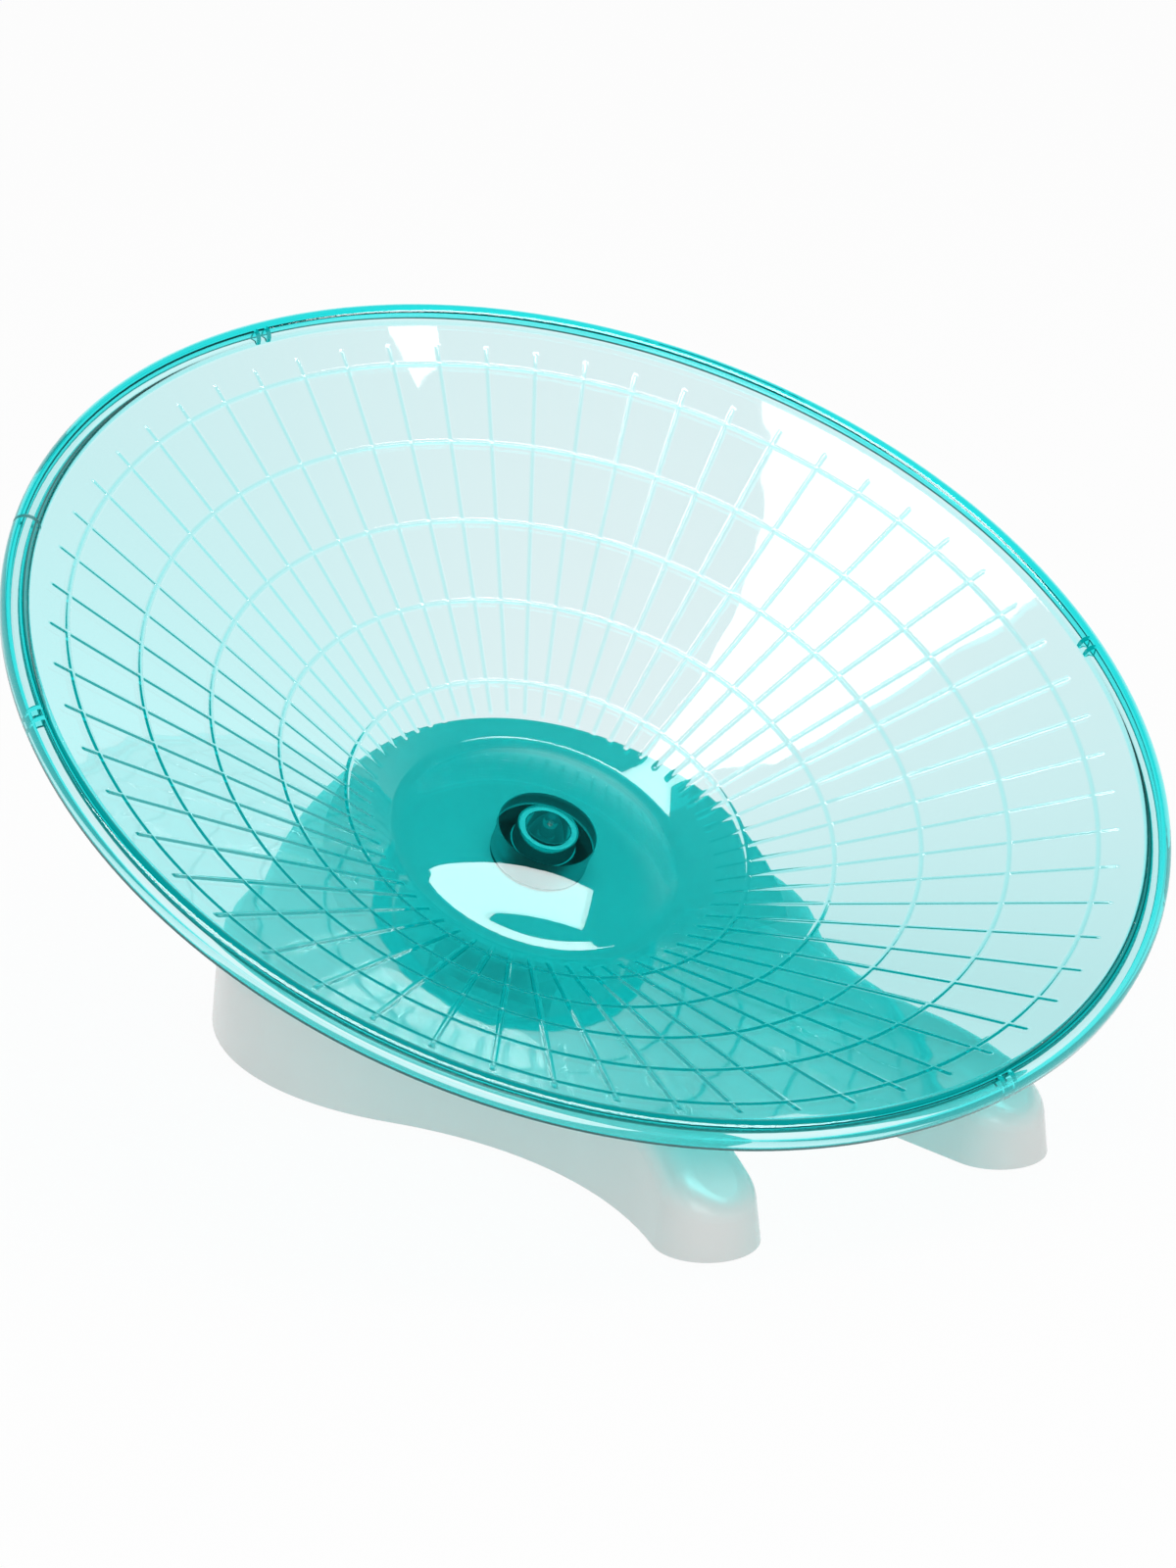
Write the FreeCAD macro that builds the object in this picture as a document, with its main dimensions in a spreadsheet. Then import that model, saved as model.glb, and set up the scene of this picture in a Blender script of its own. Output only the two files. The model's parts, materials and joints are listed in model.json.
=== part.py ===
"""Running disc for small pets: a tilted conical dish that spins on a free-standing two-legged stand.

Millimetres, +Z up. The origin is on the floor, under the middle of the whole object's box.
The dish leans to -Y.
"""
import FreeCAD
import Part
import Sketcher
import math
import os

Vector = FreeCAD.Vector

# Driving sizes: name, value, meaning
SIZES = [
    ("tilt", 28.35, "lean of the running axis from upright, degrees"),
    ("hub_height", 55.8, "middle of the dish's dome above the stand's lower edge"),
    ("rim_radius", 150.0, "dish, largest radius"),
    ("dish_wall", 2.2, "dish, wall thickness"),
    ("cone_angle", 29.45, "dish, slope of the running wall, degrees"),
    ("cone_foot_radius", 40.0, "dish, radius where the running wall starts"),
    ("valley_depth", 8.0, "dish, valley floor below the dome's middle"),
    ("dome_radius", 35.1, "dish, radius of the domed floor"),
    ("dome_drop", 7.2, "dish, fall of the dome from middle to edge"),
    ("valley_blend", 2.4, "dish, half width of the easing between valley and running wall"),
    ("bead_radius", 3.5, "dish, outer rounding of the rolled rim"),
    ("lip_wall", 2.0, "dish, wall thickness of the rolled rim"),
    ("skirt_height", 2.0, "dish, straight edge below the rolled rim"),
    ("ring_start", 13.7, "dish, innermost raised ring outside the running wall's foot"),
    ("ring_margin", 10.1, "dish, outermost raised ring inside the rolled rim's root"),
    ("ring_width", 1.7, "dish, width of a raised ring at its base"),
    ("ring_rise", 0.5, "dish, height of a raised ring"),
    ("rib_start", 5.6, "dish, inner end of the straight ribs outside the running wall's foot"),
    ("rib_margin", 12.0, "dish, outer end of the straight ribs inside the largest radius"),
    ("rib_angle", 0.75, "dish, angle that a straight rib takes up, degrees"),
    ("rib_rise", 0.6, "dish, height of a straight rib"),
    ("rib_end_slope", 45.0, "dish, slope of a rib's ends, degrees"),
    ("rib_count", 60, "dish, number of straight ribs"),
    ("web_angle", 9.0, "dish, rim web pairs, turn from the cross axis, degrees"),
    ("web_spacing", 3.5, "dish, distance between the two webs of a pair"),
    ("web_width", 1.2, "dish, thickness of a rim web"),
    ("boss_radius", 12.85, "dish, outer radius of the boss ring"),
    ("boss_wall", 4.85, "dish, wall thickness of the boss ring"),
    ("post_radius", 5.75, "dish, radius of the centre post"),
    ("seat_depth", 13.0, "stand's tilted face below the dome's middle, along the axis"),
    ("hub_length", 11.5, "stand, length of the hub socket below the tilted face"),
    ("hub_wall", 4.0, "stand, wall thickness of the hub socket"),
    ("bush_wall", 2.1, "axle bush, wall thickness"),
    ("running_clearance", 0.05, "radial clearance of the post in the bush"),
    ("bush_top_gap", 1.0, "clearance between the bush and the underside of the dome"),
    ("thrust_washer_thickness", 0.9, "thrust washer, thickness"),
    ("thrust_washer_margin", 0.25, "thrust washer, outer edge inside the boss ring's edge"),
    ("thrust_clearance", 0.05, "clearance between the boss ring and the thrust washer"),
    ("end_play", 0.3, "clearance between the bush and the retaining washer"),
    ("retainer_radius", 9.5, "retaining washer, outer radius"),
    ("retainer_thickness", 1.2, "retaining washer, thickness"),
    ("screw_radius", 2.0, "axle screw, shank radius"),
    ("screw_length", 9.0, "axle screw, length in the post"),
    ("screw_head_radius", 4.0, "axle screw, head radius"),
    ("screw_head_height", 2.6, "axle screw, head height"),
    ("drum_radius", 81.5, "stand, radius of the drum at its lower edge"),
    ("drum_offset", 14.5, "stand, middle of the drum behind the dome's middle"),
    ("plinth_height", 25.0, "stand, height of drum and legs"),
    ("draft", 6.0, "stand, draft of the walls, degrees"),
    ("edge_round", 7.0, "stand, rounding of the upper edge"),
    ("side_radius", 110.0, "stand, hollow sweep from drum to leg"),
    ("foot_x", 43.6, "stand, middle of a foot from the middle plane"),
    ("foot_reach", 140.9, "stand, middle of a foot in front of the drum's middle"),
    ("foot_radius", 12.7, "stand, radius of a foot at its lower edge"),
    ("notch_reach", 14.85, "stand, middle of the notch's round end behind the feet's middles"),
    ("notch_lean", 8.1, "stand, lean of the notch's straight flanks, degrees"),
    ("toe_setback", 26.0, "stand, start of the toe's curve behind the foot's middle"),
    ("toe_radius", 60.0, "stand, radius of the toe's curve, seen from the side"),
    ("pedestal_radius", 73.2, "stand, radius of the round pedestal"),
    ("pedestal_middle", 6.5, "stand, middle of the round pedestal above the stand's lower edge"),
    ("stand_wall", 2.6, "stand, wall thickness"),
    ("web_thickness", 2.0, "stand, thickness of the inner webs"),
    ("web_lift", 8.0, "stand, lower edge of the inner webs above the stand's lower edge"),
    ("pad_side", 12.0, "foot pad, side of the square pad"),
    ("pad_thickness", 1.6, "foot pad, thickness"),
    ("pad_proud", 0.6, "foot pad, part that stands below the stand"),
    ("pad_boss_wall", 1.4, "stand, wall round a foot pad's recess"),
    ("rear_pad_inset", 15.55, "rear foot pads, middle inside the drum's lower edge"),
    ("rear_pad_angle", 40.7, "rear foot pads, direction from the drum's middle, off the cross axis, degrees"),
]

doc = FreeCAD.newDocument("running_disc")
sheet = doc.addObject("Spreadsheet::Sheet", "Sizes")
for row, (alias, number, meaning) in enumerate(SIZES, start=1):
    sheet.set("A%d" % row, meaning)
    sheet.set("B%d" % row, str(number))
    sheet.setAlias("B%d" % row, alias)
doc.recompute()


class Size:
    """A length or an angle that knows its number and the expression that gives it from the sheet."""

    def __init__(self, value, text):
        self.value = float(value)
        self.text = text

    @staticmethod
    def of(other):
        if isinstance(other, Size):
            return other
        return Size(other, "%.9g" % other)

    def __add__(self, other):
        other = Size.of(other)
        return Size(self.value + other.value, "(%s + %s)" % (self.text, other.text))

    def __sub__(self, other):
        other = Size.of(other)
        return Size(self.value - other.value, "(%s - %s)" % (self.text, other.text))

    def __mul__(self, other):
        other = Size.of(other)
        return Size(self.value * other.value, "(%s * %s)" % (self.text, other.text))

    def __truediv__(self, other):
        other = Size.of(other)
        return Size(self.value / other.value, "(%s / %s)" % (self.text, other.text))

    def __rsub__(self, other):
        return Size.of(other) - self

    def __neg__(self):
        return Size(-self.value, "(0 - %s)" % self.text)

    __radd__ = __add__
    __rmul__ = __mul__


def size(alias):
    """A size of the sheet by its name."""
    return Size(float(sheet.get(alias)), "Sizes." + alias)


def sine(angle):
    return Size(math.sin(math.radians(angle.value)), "sin(%s)" % angle.text)


def cosine(angle):
    return Size(math.cos(math.radians(angle.value)), "cos(%s)" % angle.text)


def tangent(angle):
    return Size(math.tan(math.radians(angle.value)), "tan(%s)" % angle.text)


def root(square):
    return Size(math.sqrt(square.value), "sqrt(%s)" % square.text)


ZERO = Size(0, "0")

# Flats that make the rounding of the rolled rim
BEAD_FLATS = 5

# Raised rings on the running wall
RING_COUNT = 5

# The pedestal's inside is turned as this many flats from its foot to its top
CAVITY_FLATS = 5


def bind(thing, path, amount):
    """Tie one property of an object to the sheet."""
    thing.setExpression(path, amount.text)


def origin_part(body, role):
    """One of a body's own origin planes or axes."""
    return [part for part in body.Origin.OriginFeatures if part.Role == role][0]


def new_sketch(body, role, name):
    sketch = body.newObject("Sketcher::SketchObject", name)
    sketch.AttachmentSupport = [(origin_part(body, role), "")]
    sketch.MapMode = "FlatFace"
    return sketch


def fix_coordinate(sketch, kind, geometry, point, amount):
    """Hold one coordinate of a sketch point at a size of either sign."""
    if abs(amount.value) < 1e-9:
        axis = -2 if kind == "DistanceX" else -1
        sketch.addConstraint(Sketcher.Constraint("PointOnObject", geometry, point, axis))
        return
    if amount.value > 0:
        index = sketch.addConstraint(Sketcher.Constraint(kind, -1, 1, geometry, point, amount.value))
        bind(sketch, "Constraints[%d]" % index, amount)
    else:
        index = sketch.addConstraint(Sketcher.Constraint(kind, geometry, point, -1, 1, -amount.value))
        bind(sketch, "Constraints[%d]" % index, -amount)


def fix_radius(sketch, geometry, amount):
    index = sketch.addConstraint(Sketcher.Constraint("Radius", geometry, amount.value))
    bind(sketch, "Constraints[%d]" % index, amount)


def arc_between(start, end, middle):
    """Counter-clockwise arc about a middle point."""
    first = math.atan2(start.y - middle.y, start.x - middle.x)
    last = math.atan2(end.y - middle.y, end.x - middle.x)
    radius = (start - middle).Length
    return Part.ArcOfCircle(Part.Circle(middle, Vector(0, 0, 1), radius), first, last)


def draw_profile(sketch, corners):
    """Closed run of straight lines and arcs, every corner tied to the sheet.

    A corner is (x, y, bend). The bend is None for a straight run to the next corner, or ("left", radius) or
    ("right", radius) for an arc whose middle lies on that side.
    """
    count = len(corners)
    ends = []
    for number in range(count):
        x, y, bend = corners[number]
        next_x, next_y, _ = corners[(number + 1) % count]
        start = Vector(x.value, y.value, 0)
        end = Vector(next_x.value, next_y.value, 0)
        if bend is None:
            geometry = sketch.addGeometry(Part.LineSegment(start, end), False)
            ends.append((geometry, 1, 2))
            continue
        kind, amount = bend
        half = (end - start) * 0.5
        left = Vector(-half.y, half.x, 0)
        left.normalize()
        reach = math.sqrt(amount.value ** 2 - half.Length ** 2)
        middle = start + half + left * (reach if kind == "left" else -reach)
        if kind == "left":
            geometry = sketch.addGeometry(arc_between(start, end, middle), False)
            ends.append((geometry, 1, 2))
        else:
            geometry = sketch.addGeometry(arc_between(end, start, middle), False)
            ends.append((geometry, 2, 1))
        fix_radius(sketch, geometry, amount)
    for number in range(count):
        geometry, first, last = ends[number]
        next_geometry, next_first, _ = ends[(number + 1) % count]
        sketch.addConstraint(Sketcher.Constraint("Coincident", geometry, last, next_geometry, next_first))
        x, y, _ = corners[number]
        fix_coordinate(sketch, "DistanceX", geometry, first, x)
        fix_coordinate(sketch, "DistanceY", geometry, first, y)


def revolve(body, sketch, name):
    turned = body.newObject("PartDesign::Revolution", name)
    turned.Profile = sketch
    turned.ReferenceAxis = (sketch, ["V_Axis"])
    turned.Angle = 360.0
    doc.recompute()
    return turned


def turned_body(name, corners):
    """A piece turned from one profile about its own Z axis."""
    body = doc.addObject("PartDesign::Body", name)
    sketch = new_sketch(body, "XZ_Plane", name + "_profile")
    draw_profile(sketch, corners)
    revolve(body, sketch, name + "_turned")
    return body


def round_edges(body, base, edges, amount, name):
    """Round the listed edges of a feature."""
    rounding = body.newObject("PartDesign::Fillet", name)
    rounding.Base = (base, edges)
    bind(rounding, "Radius", amount)
    doc.recompute()
    return rounding


def edge_names(shape, wanted):
    """Names of the edges that a test accepts."""
    return ["Edge%d" % (number + 1) for number, edge in enumerate(shape.Edges) if wanted(edge)]


# Levels along the running axis, from the lower end of the dish's post
tilt = size("tilt")
wall = size("dish_wall")
hub_end = size("end_play")
seat_level = hub_end + size("hub_length")
dome_level = seat_level + size("seat_depth")
boss_level = seat_level + size("thrust_washer_thickness") + size("thrust_clearance")
groove_level = dome_level - wall
bush_top_level = groove_level - size("bush_top_gap")

# Radii about the running axis
post_radius = size("post_radius")
boss_radius = size("boss_radius")
boss_bore = boss_radius - size("boss_wall")
bush_bore = post_radius + size("running_clearance")
bush_radius = bush_bore + size("bush_wall")

# Running wall of the dish
slope = size("cone_angle")
rise = tangent(slope)
foot_radius = size("cone_foot_radius")
valley_level = dome_level - size("valley_depth")
drop_through = wall / cosine(slope)


def wall_level(radius):
    """Height of the running surface at a radius."""
    return valley_level + (radius - foot_radius) * rise


rim = size("rim_radius")
bead = size("bead_radius")
lip = size("lip_wall")
bead_middle = rim - bead
root_radius = rim - bead * 2
rim_level = wall_level(root_radius)
skirt_level = rim_level - size("skirt_height")

# Where the running axis stands: the object's box is centred on the origin
height_of_rim = rim_level - dome_level
height_of_skirt = skirt_level - dome_level
front_reach = bead_middle * cosine(tilt) + height_of_rim * sine(tilt) + bead
back_reach = rim * cosine(tilt) - height_of_skirt * sine(tilt)
dome_y = (front_reach - back_reach) / 2
dome_z = size("hub_height") + size("pad_proud")
axle_y = dome_y + dome_level * sine(tilt)
axle_z = dome_z - dome_level * cosine(tilt)
drum_y = dome_y + size("drum_offset")


def place_on_axle(thing):
    """Put a piece that is drawn along Z onto the tilted running axis."""
    turn = FreeCAD.Rotation(Vector(1, 0, 0), tilt.value)
    thing.Placement = FreeCAD.Placement(Vector(0, axle_y.value, axle_z.value), turn)
    bind(thing, "Placement.Base.y", axle_y)
    bind(thing, "Placement.Base.z", axle_z)
    bind(thing, "Placement.Rotation.Angle", tilt)


def place_on_stand(thing, x, y, z):
    """Put a piece at a point measured from the middle of the drum's lower edge."""
    thing.Placement = FreeCAD.Placement(
        Vector(x.value, (drum_y + y).value, (size("pad_proud") + z).value), FreeCAD.Rotation())
    bind(thing, "Placement.Base.x", x)
    bind(thing, "Placement.Base.y", drum_y + y)
    bind(thing, "Placement.Base.z", size("pad_proud") + z)


# Running dish: one turned profile with its rings, then ribs and rim webs
def dish_profile():
    dome_edge = size("dome_radius")
    dome_drop = size("dome_drop")
    sphere = (dome_edge * dome_edge + dome_drop * dome_drop) / (dome_drop * 2)
    share = (sphere - wall) / sphere
    sphere_middle = dome_level - sphere
    corners = [(ZERO, dome_level, ("right", sphere)), (dome_edge, dome_level - dome_drop, None)]
    blend = size("valley_blend")
    corners.append((foot_radius - blend, valley_level, None))
    corners.append((foot_radius + blend, wall_level(foot_radius + blend), None))
    # Rings on the running wall, each a low ridge, from the innermost outwards
    width = size("ring_width")
    first_ring = foot_radius + size("ring_start")
    last_ring = root_radius - size("ring_margin")
    for number in range(RING_COUNT):
        radius = first_ring + (last_ring - first_ring) * number / (RING_COUNT - 1)
        for along, up in ((-0.5, ZERO), (0, size("ring_rise")), (0.5, ZERO)):
            out = cosine(slope) * width * along - sine(slope) * up
            lift = sine(slope) * width * along + cosine(slope) * up
            corners.append((radius + out, wall_level(radius) + lift, None))
    for step in range(BEAD_FLATS + 1):
        turn = Size(180 - 180 * step / BEAD_FLATS, "%.9g" % (180 - 180 * step / BEAD_FLATS))
        corners.append((bead_middle + bead * cosine(turn), rim_level + bead * sine(turn), None))
    corners.append((rim, skirt_level, None))
    corners.append((rim - lip, skirt_level, None))
    channel_level = rim_level + bead - lip
    channel_radius = root_radius + lip
    corners.append((rim - lip, rim_level, None))
    corners.append((bead_middle, channel_level, None))
    corners.append((channel_radius, rim_level, None))
    corners.append((channel_radius, wall_level(channel_radius) - drop_through, None))
    under_foot = foot_radius + (drop_through - wall) / rise
    corners.append((under_foot + blend, valley_level - wall + blend * rise, None))
    corners.append((under_foot - blend, valley_level - wall, None))
    under_dome = sphere_middle + (dome_level - dome_drop - sphere_middle) * share
    corners.append((dome_edge * share, under_dome, None))
    inner = sphere - wall
    halfway = (dome_edge * share + boss_radius) / 2
    corners.append((halfway, sphere_middle + root(inner * inner - halfway * halfway), None))
    at_boss = sphere_middle + root(inner * inner - boss_radius * boss_radius)
    corners.append((boss_radius, at_boss, None))
    corners.append((boss_radius, boss_level, None))
    corners.append((boss_bore, boss_level, None))
    corners.append((boss_bore, groove_level, None))
    corners.append((post_radius, groove_level, None))
    corners.append((post_radius, ZERO, None))
    corners.append((size("screw_radius"), ZERO, None))
    corners.append((size("screw_radius"), size("screw_length"), None))
    corners.append((ZERO, size("screw_length"), None))
    return corners


dish = doc.addObject("PartDesign::Body", "dish_body")
dish_sketch = new_sketch(dish, "XZ_Plane", "dish_profile")
draw_profile(dish_sketch, dish_profile())
revolve(dish, dish_sketch, "dish_turned")


def pad_up(body, sketch, length, name):
    pad = body.newObject("PartDesign::Pad", name)
    pad.Profile = sketch
    bind(pad, "Length", length)
    doc.recompute()
    return pad


def repeat_round(body, feature, count, name):
    pattern = body.newObject("PartDesign::PolarPattern", name)
    pattern.Originals = [feature]
    pattern.Axis = (origin_part(body, "Z_Axis"), [""])
    pattern.Angle = 360.0
    bind(pattern, "Occurrences", count)
    body.Tip = pattern
    doc.recompute()
    return pattern


# One straight rib along the running wall, from inside the wall, with sloping ends
def rib_profile():
    sink = wall / 2
    up_x = -sine(slope)
    up_z = cosine(slope)
    ease = size("rib_rise") / tangent(size("rib_end_slope"))
    inner = foot_radius + size("rib_start")
    outer = rim - size("rib_margin")
    inner_top = inner + ease * cosine(slope)
    outer_top = outer - ease * cosine(slope)
    rib_rise = size("rib_rise")
    return [
        (inner - up_x * sink, wall_level(inner) - up_z * sink, None),
        (outer - up_x * sink, wall_level(outer) - up_z * sink, None),
        (outer, wall_level(outer), None),
        (outer_top + up_x * rib_rise, wall_level(outer_top) + up_z * rib_rise, None),
        (inner_top + up_x * rib_rise, wall_level(inner_top) + up_z * rib_rise, None),
        (inner, wall_level(inner), None),
    ]


rib_sketch = new_sketch(dish, "XZ_Plane", "rib_outline")
draw_profile(rib_sketch, rib_profile())
rib = revolve(dish, rib_sketch, "rib")
bind(rib, "Angle", size("rib_angle"))
rib.Midplane = True
doc.recompute()
repeat_round(dish, rib, size("rib_count"), "ribs")


def rim_webs(name, angle):
    """Two pairs of webs across the channel under the rolled rim, half a turn apart."""
    sketch = new_sketch(dish, "XY_Plane", name + "_outline")
    turn = FreeCAD.Rotation(Vector(0, 0, 1), angle.value)
    sketch.AttachmentOffset = FreeCAD.Placement(Vector(0, 0, skirt_level.value), turn)
    bind(sketch, "AttachmentOffset.Base.z", skirt_level)
    bind(sketch, "AttachmentOffset.Rotation.Angle", angle)
    inner = root_radius + lip / 2
    outer = rim - lip / 2
    for side in (-1, 1):
        middle = size("web_spacing") * side / 2
        half = size("web_width") / 2
        draw_profile(sketch, [(inner, middle - half, None), (outer, middle - half, None),
                              (outer, middle + half, None), (inner, middle + half, None)])
    pad = pad_up(dish, sketch, size("skirt_height") + lip / 2, name)
    return repeat_round(dish, pad, Size(2, "2"), name + "_pairs")


rim_webs("cross_webs", 180 - size("web_angle"))
rim_webs("long_webs", 90 + size("web_angle"))
place_on_axle(dish)
dish.Label = "running_dish"

# Axle bush: plain sleeve pressed into the stand's hub socket
bush = turned_body("bush_body", [
    (bush_bore, hub_end, None),
    (bush_radius, hub_end, None),
    (bush_radius, bush_top_level, None),
    (bush_bore, bush_top_level, None),
])
place_on_axle(bush)
bush.Label = "axle_bush"

# Thrust washer: lies on the tilted face round the bush and carries the boss ring
thrust_radius = boss_radius - size("thrust_washer_margin")
thrust_washer = turned_body("thrust_washer_body", [
    (bush_radius, seat_level, None),
    (thrust_radius, seat_level, None),
    (thrust_radius, seat_level + size("thrust_washer_thickness"), None),
    (bush_radius, seat_level + size("thrust_washer_thickness"), None),
])
place_on_axle(thrust_washer)
thrust_washer.Label = "thrust_washer"

# Retaining washer, clamped on the post's end
retainer = turned_body("retainer_body", [
    (size("screw_radius"), -size("retainer_thickness"), None),
    (size("retainer_radius"), -size("retainer_thickness"), None),
    (size("retainer_radius"), ZERO, None),
    (size("screw_radius"), ZERO, None),
])
place_on_axle(retainer)
retainer.Label = "retaining_washer"

# Axle screw, from below through the retaining washer into the post
head_top = -size("retainer_thickness")
head_low = head_top - size("screw_head_height")
screw = turned_body("screw_body", [
    (ZERO, head_low, None),
    (size("screw_head_radius") * 0.6, head_low, None),
    (size("screw_head_radius"), head_low + size("screw_head_height") * 0.5, None),
    (size("screw_head_radius"), head_top, None),
    (size("screw_radius"), head_top, None),
    (size("screw_radius"), size("screw_length"), None),
    (ZERO, size("screw_length"), None),
])
place_on_axle(screw)
screw.Label = "axle_screw"


# Stand: one outer form and one cavity form from the same rules, an inset apart
def plan_outline(sketch, inset):
    """Drum, hollow sides, two round feet and the notch between the legs, all tangent to each other."""
    drum = size("drum_radius") - inset
    foot = size("foot_radius") - inset
    side = size("side_radius") + inset
    foot_x = size("foot_x")
    foot_y = size("foot_reach")
    lean = size("notch_lean")
    reach = math.hypot(foot_x.value, foot_y.value)
    near = drum.value + side.value
    far = foot.value + side.value
    along = (near ** 2 - far ** 2 + reach ** 2) / (2 * reach)
    away = math.sqrt(near ** 2 - along ** 2)
    ahead = Vector(foot_x.value, -foot_y.value, 0) * (1 / reach)
    side_middle = ahead * along + Vector(-ahead.y, ahead.x, 0) * away
    foot_middle = Vector(foot_x.value, -foot_y.value, 0)
    drum_touch = side_middle * (drum.value / near)
    foot_touch = foot_middle + (side_middle - foot_middle) * (foot.value / far)
    facing = Vector(cosine(lean).value, sine(lean).value, 0)
    notch_middle = Vector(0, size("notch_reach").value - foot_y.value, 0)
    heel = foot_middle - facing * foot.value
    bend = notch_middle + facing * facing.dot(heel - notch_middle)

    def left(point):
        return Vector(-point.x, point.y, 0)

    def arc(start, end, middle):
        return sketch.addGeometry(arc_between(start, end, middle), False)

    drum_arc = arc(drum_touch, left(drum_touch), Vector())
    left_side = arc(left(foot_touch), left(drum_touch), left(side_middle))
    left_foot = arc(left(foot_touch), left(heel), left(foot_middle))
    left_line = sketch.addGeometry(Part.LineSegment(left(heel), left(bend)), False)
    notch_arc = arc(bend, left(bend), notch_middle)
    right_line = sketch.addGeometry(Part.LineSegment(heel, bend), False)
    right_foot = arc(heel, foot_touch, foot_middle)
    right_side = arc(drum_touch, foot_touch, side_middle)
    meetings = [(drum_arc, 2, left_side, 2), (left_side, 1, left_foot, 1), (left_foot, 2, left_line, 1),
                (left_line, 2, notch_arc, 2), (notch_arc, 1, right_line, 2), (right_line, 1, right_foot, 1),
                (right_foot, 2, right_side, 2), (right_side, 1, drum_arc, 1)]
    for first, first_end, second, second_end in meetings:
        sketch.addConstraint(Sketcher.Constraint("Tangent", first, first_end, second, second_end))
    sketch.addConstraint(Sketcher.Constraint("Coincident", drum_arc, 3, -1, 1))
    fix_radius(sketch, drum_arc, drum)
    flanks = [(1, right_foot, right_side, right_line), (-1, left_foot, left_side, left_line)]
    for sign, foot_arc, side_arc, line in flanks:
        fix_coordinate(sketch, "DistanceX", foot_arc, 3, foot_x * sign)
        fix_coordinate(sketch, "DistanceY", foot_arc, 3, -foot_y)
        fix_radius(sketch, foot_arc, foot)
        fix_radius(sketch, side_arc, side)
        direction = 90 + lean * sign
        index = sketch.addConstraint(Sketcher.Constraint("Angle", line, math.radians(direction.value)))
        bind(sketch, "Constraints[%d]" % index, direction)
    fix_coordinate(sketch, "DistanceY", notch_arc, 3, size("notch_reach") - foot_y)


def faces_up(face):
    """True for a face that looks upwards more than sideways."""
    first, last, low, high = face.ParameterRange
    return face.normalAt((first + last) / 2, (low + high) / 2).z > 0.5


def upper_rim_test(shape):
    """Accepts the edges between an upward face and a side wall."""
    def accepts(edge):
        beside = shape.ancestorsOfType(edge, Part.Face)
        return len(beside) == 2 and faces_up(beside[0]) != faces_up(beside[1])
    return accepts


def stand_form(name, inset, face_depth):
    """Closed solid of the stand's outside, or of its cavity when an inset is given."""
    body = doc.addObject("PartDesign::Body", name)
    plan = new_sketch(body, "XY_Plane", name + "_plan")
    plan_outline(plan, inset)
    height = size("plinth_height") - inset
    plinth = pad_up(body, plan, height, name + "_plinth")
    bind(plinth, "TaperAngle", -size("draft"))
    doc.recompute()
    # The toe's curve leaves the level top behind the foot's middle and falls to the front
    toe = new_sketch(body, "YZ_Plane", name + "_toe_curve")
    bow = size("toe_radius") - inset
    toe_start = size("toe_setback") - size("foot_reach")
    toe_run = size("toe_setback") + size("foot_radius") * 1.1
    toe_end = toe_start - toe_run
    toe_low = height - bow + root(bow * bow - toe_run * toe_run)
    draw_profile(toe, [(toe_end, toe_low, ("right", bow)), (toe_start, height, None),
                       (toe_start, height * 2, None), (toe_end, height * 2, None)])
    toes = cut_through(body, toe, name + "_toes")
    if inset is ZERO:
        rim_edges = edge_names(toes.Shape, upper_rim_test(toes.Shape))
        round_edges(body, toes, rim_edges, size("edge_round"), name + "_edge_rounding")
    # Pedestal: a round dome on the drum
    dome = new_sketch(body, "XZ_Plane", name + "_pedestal_profile")
    ball = size("pedestal_radius") - inset
    middle = size("pedestal_middle")
    if inset is ZERO:
        draw_profile(dome, [(ZERO, middle, None), (ball, middle, ("left", ball)),
                            (ZERO, middle + ball, None)])
    else:
        corners = [(ZERO, middle, None)]
        for step in range(CAVITY_FLATS + 1):
            turn = Size(90 * step / CAVITY_FLATS, "%.9g" % (90 * step / CAVITY_FLATS))
            corners.append((ball * cosine(turn), middle + ball * sine(turn), None))
        draw_profile(dome, corners)
    revolve(body, dome, name + "_pedestal")
    # The tilted cut that carries the dish, level with the drum in front
    cut = new_sketch(body, "YZ_Plane", name + "_tilted_cut")
    face_y = size("drum_offset") * -1 + face_depth * sine(tilt)
    face_z = size("hub_height") - face_depth * cosine(tilt)
    front_y = face_y - (face_z - height) / tangent(tilt)
    back_y = size("drum_radius") + size("plinth_height")
    back_z = face_z + (back_y - face_y) * tangent(tilt)
    above = back_z + size("plinth_height")
    draw_profile(cut, [(front_y, height, None), (back_y, back_z, None), (back_y, above, None),
                       (-back_y, above, None), (-back_y, height, None)])
    cut_through(body, cut, name + "_tilted_face")
    place_on_stand(body, ZERO, ZERO, ZERO)
    doc.recompute()
    return body


def cut_through(body, sketch, name):
    """Cut the sketch right across the stand, both ways from the middle plane."""
    before = body.Tip.Shape.Volume
    pocket = body.newObject("PartDesign::Pocket", name)
    pocket.Profile = sketch
    pocket.Midplane = True
    pocket.Type = "Length"
    bind(pocket, "Length", size("drum_radius") * 3)
    doc.recompute()
    if pocket.Shape.Volume >= before - 1.0:
        raise RuntimeError("%s removed nothing" % name)
    return pocket


stand_wall = size("stand_wall")
outer_form = stand_form("stand_outside", ZERO, size("seat_depth"))
cavity_form = stand_form("stand_cavity", stand_wall, size("seat_depth") + stand_wall)


def cylinder(name, radius, height):
    solid = doc.addObject("Part::Cylinder", name)
    bind(solid, "Radius", radius)
    bind(solid, "Height", height)
    return solid


def box(name, length, width, height):
    solid = doc.addObject("Part::Box", name)
    bind(solid, "Length", length)
    bind(solid, "Width", width)
    bind(solid, "Height", height)
    return solid


def combine(kind, name, **links):
    result = doc.addObject(kind, name)
    for link, target in links.items():
        setattr(result, link, target)
    return result


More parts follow.
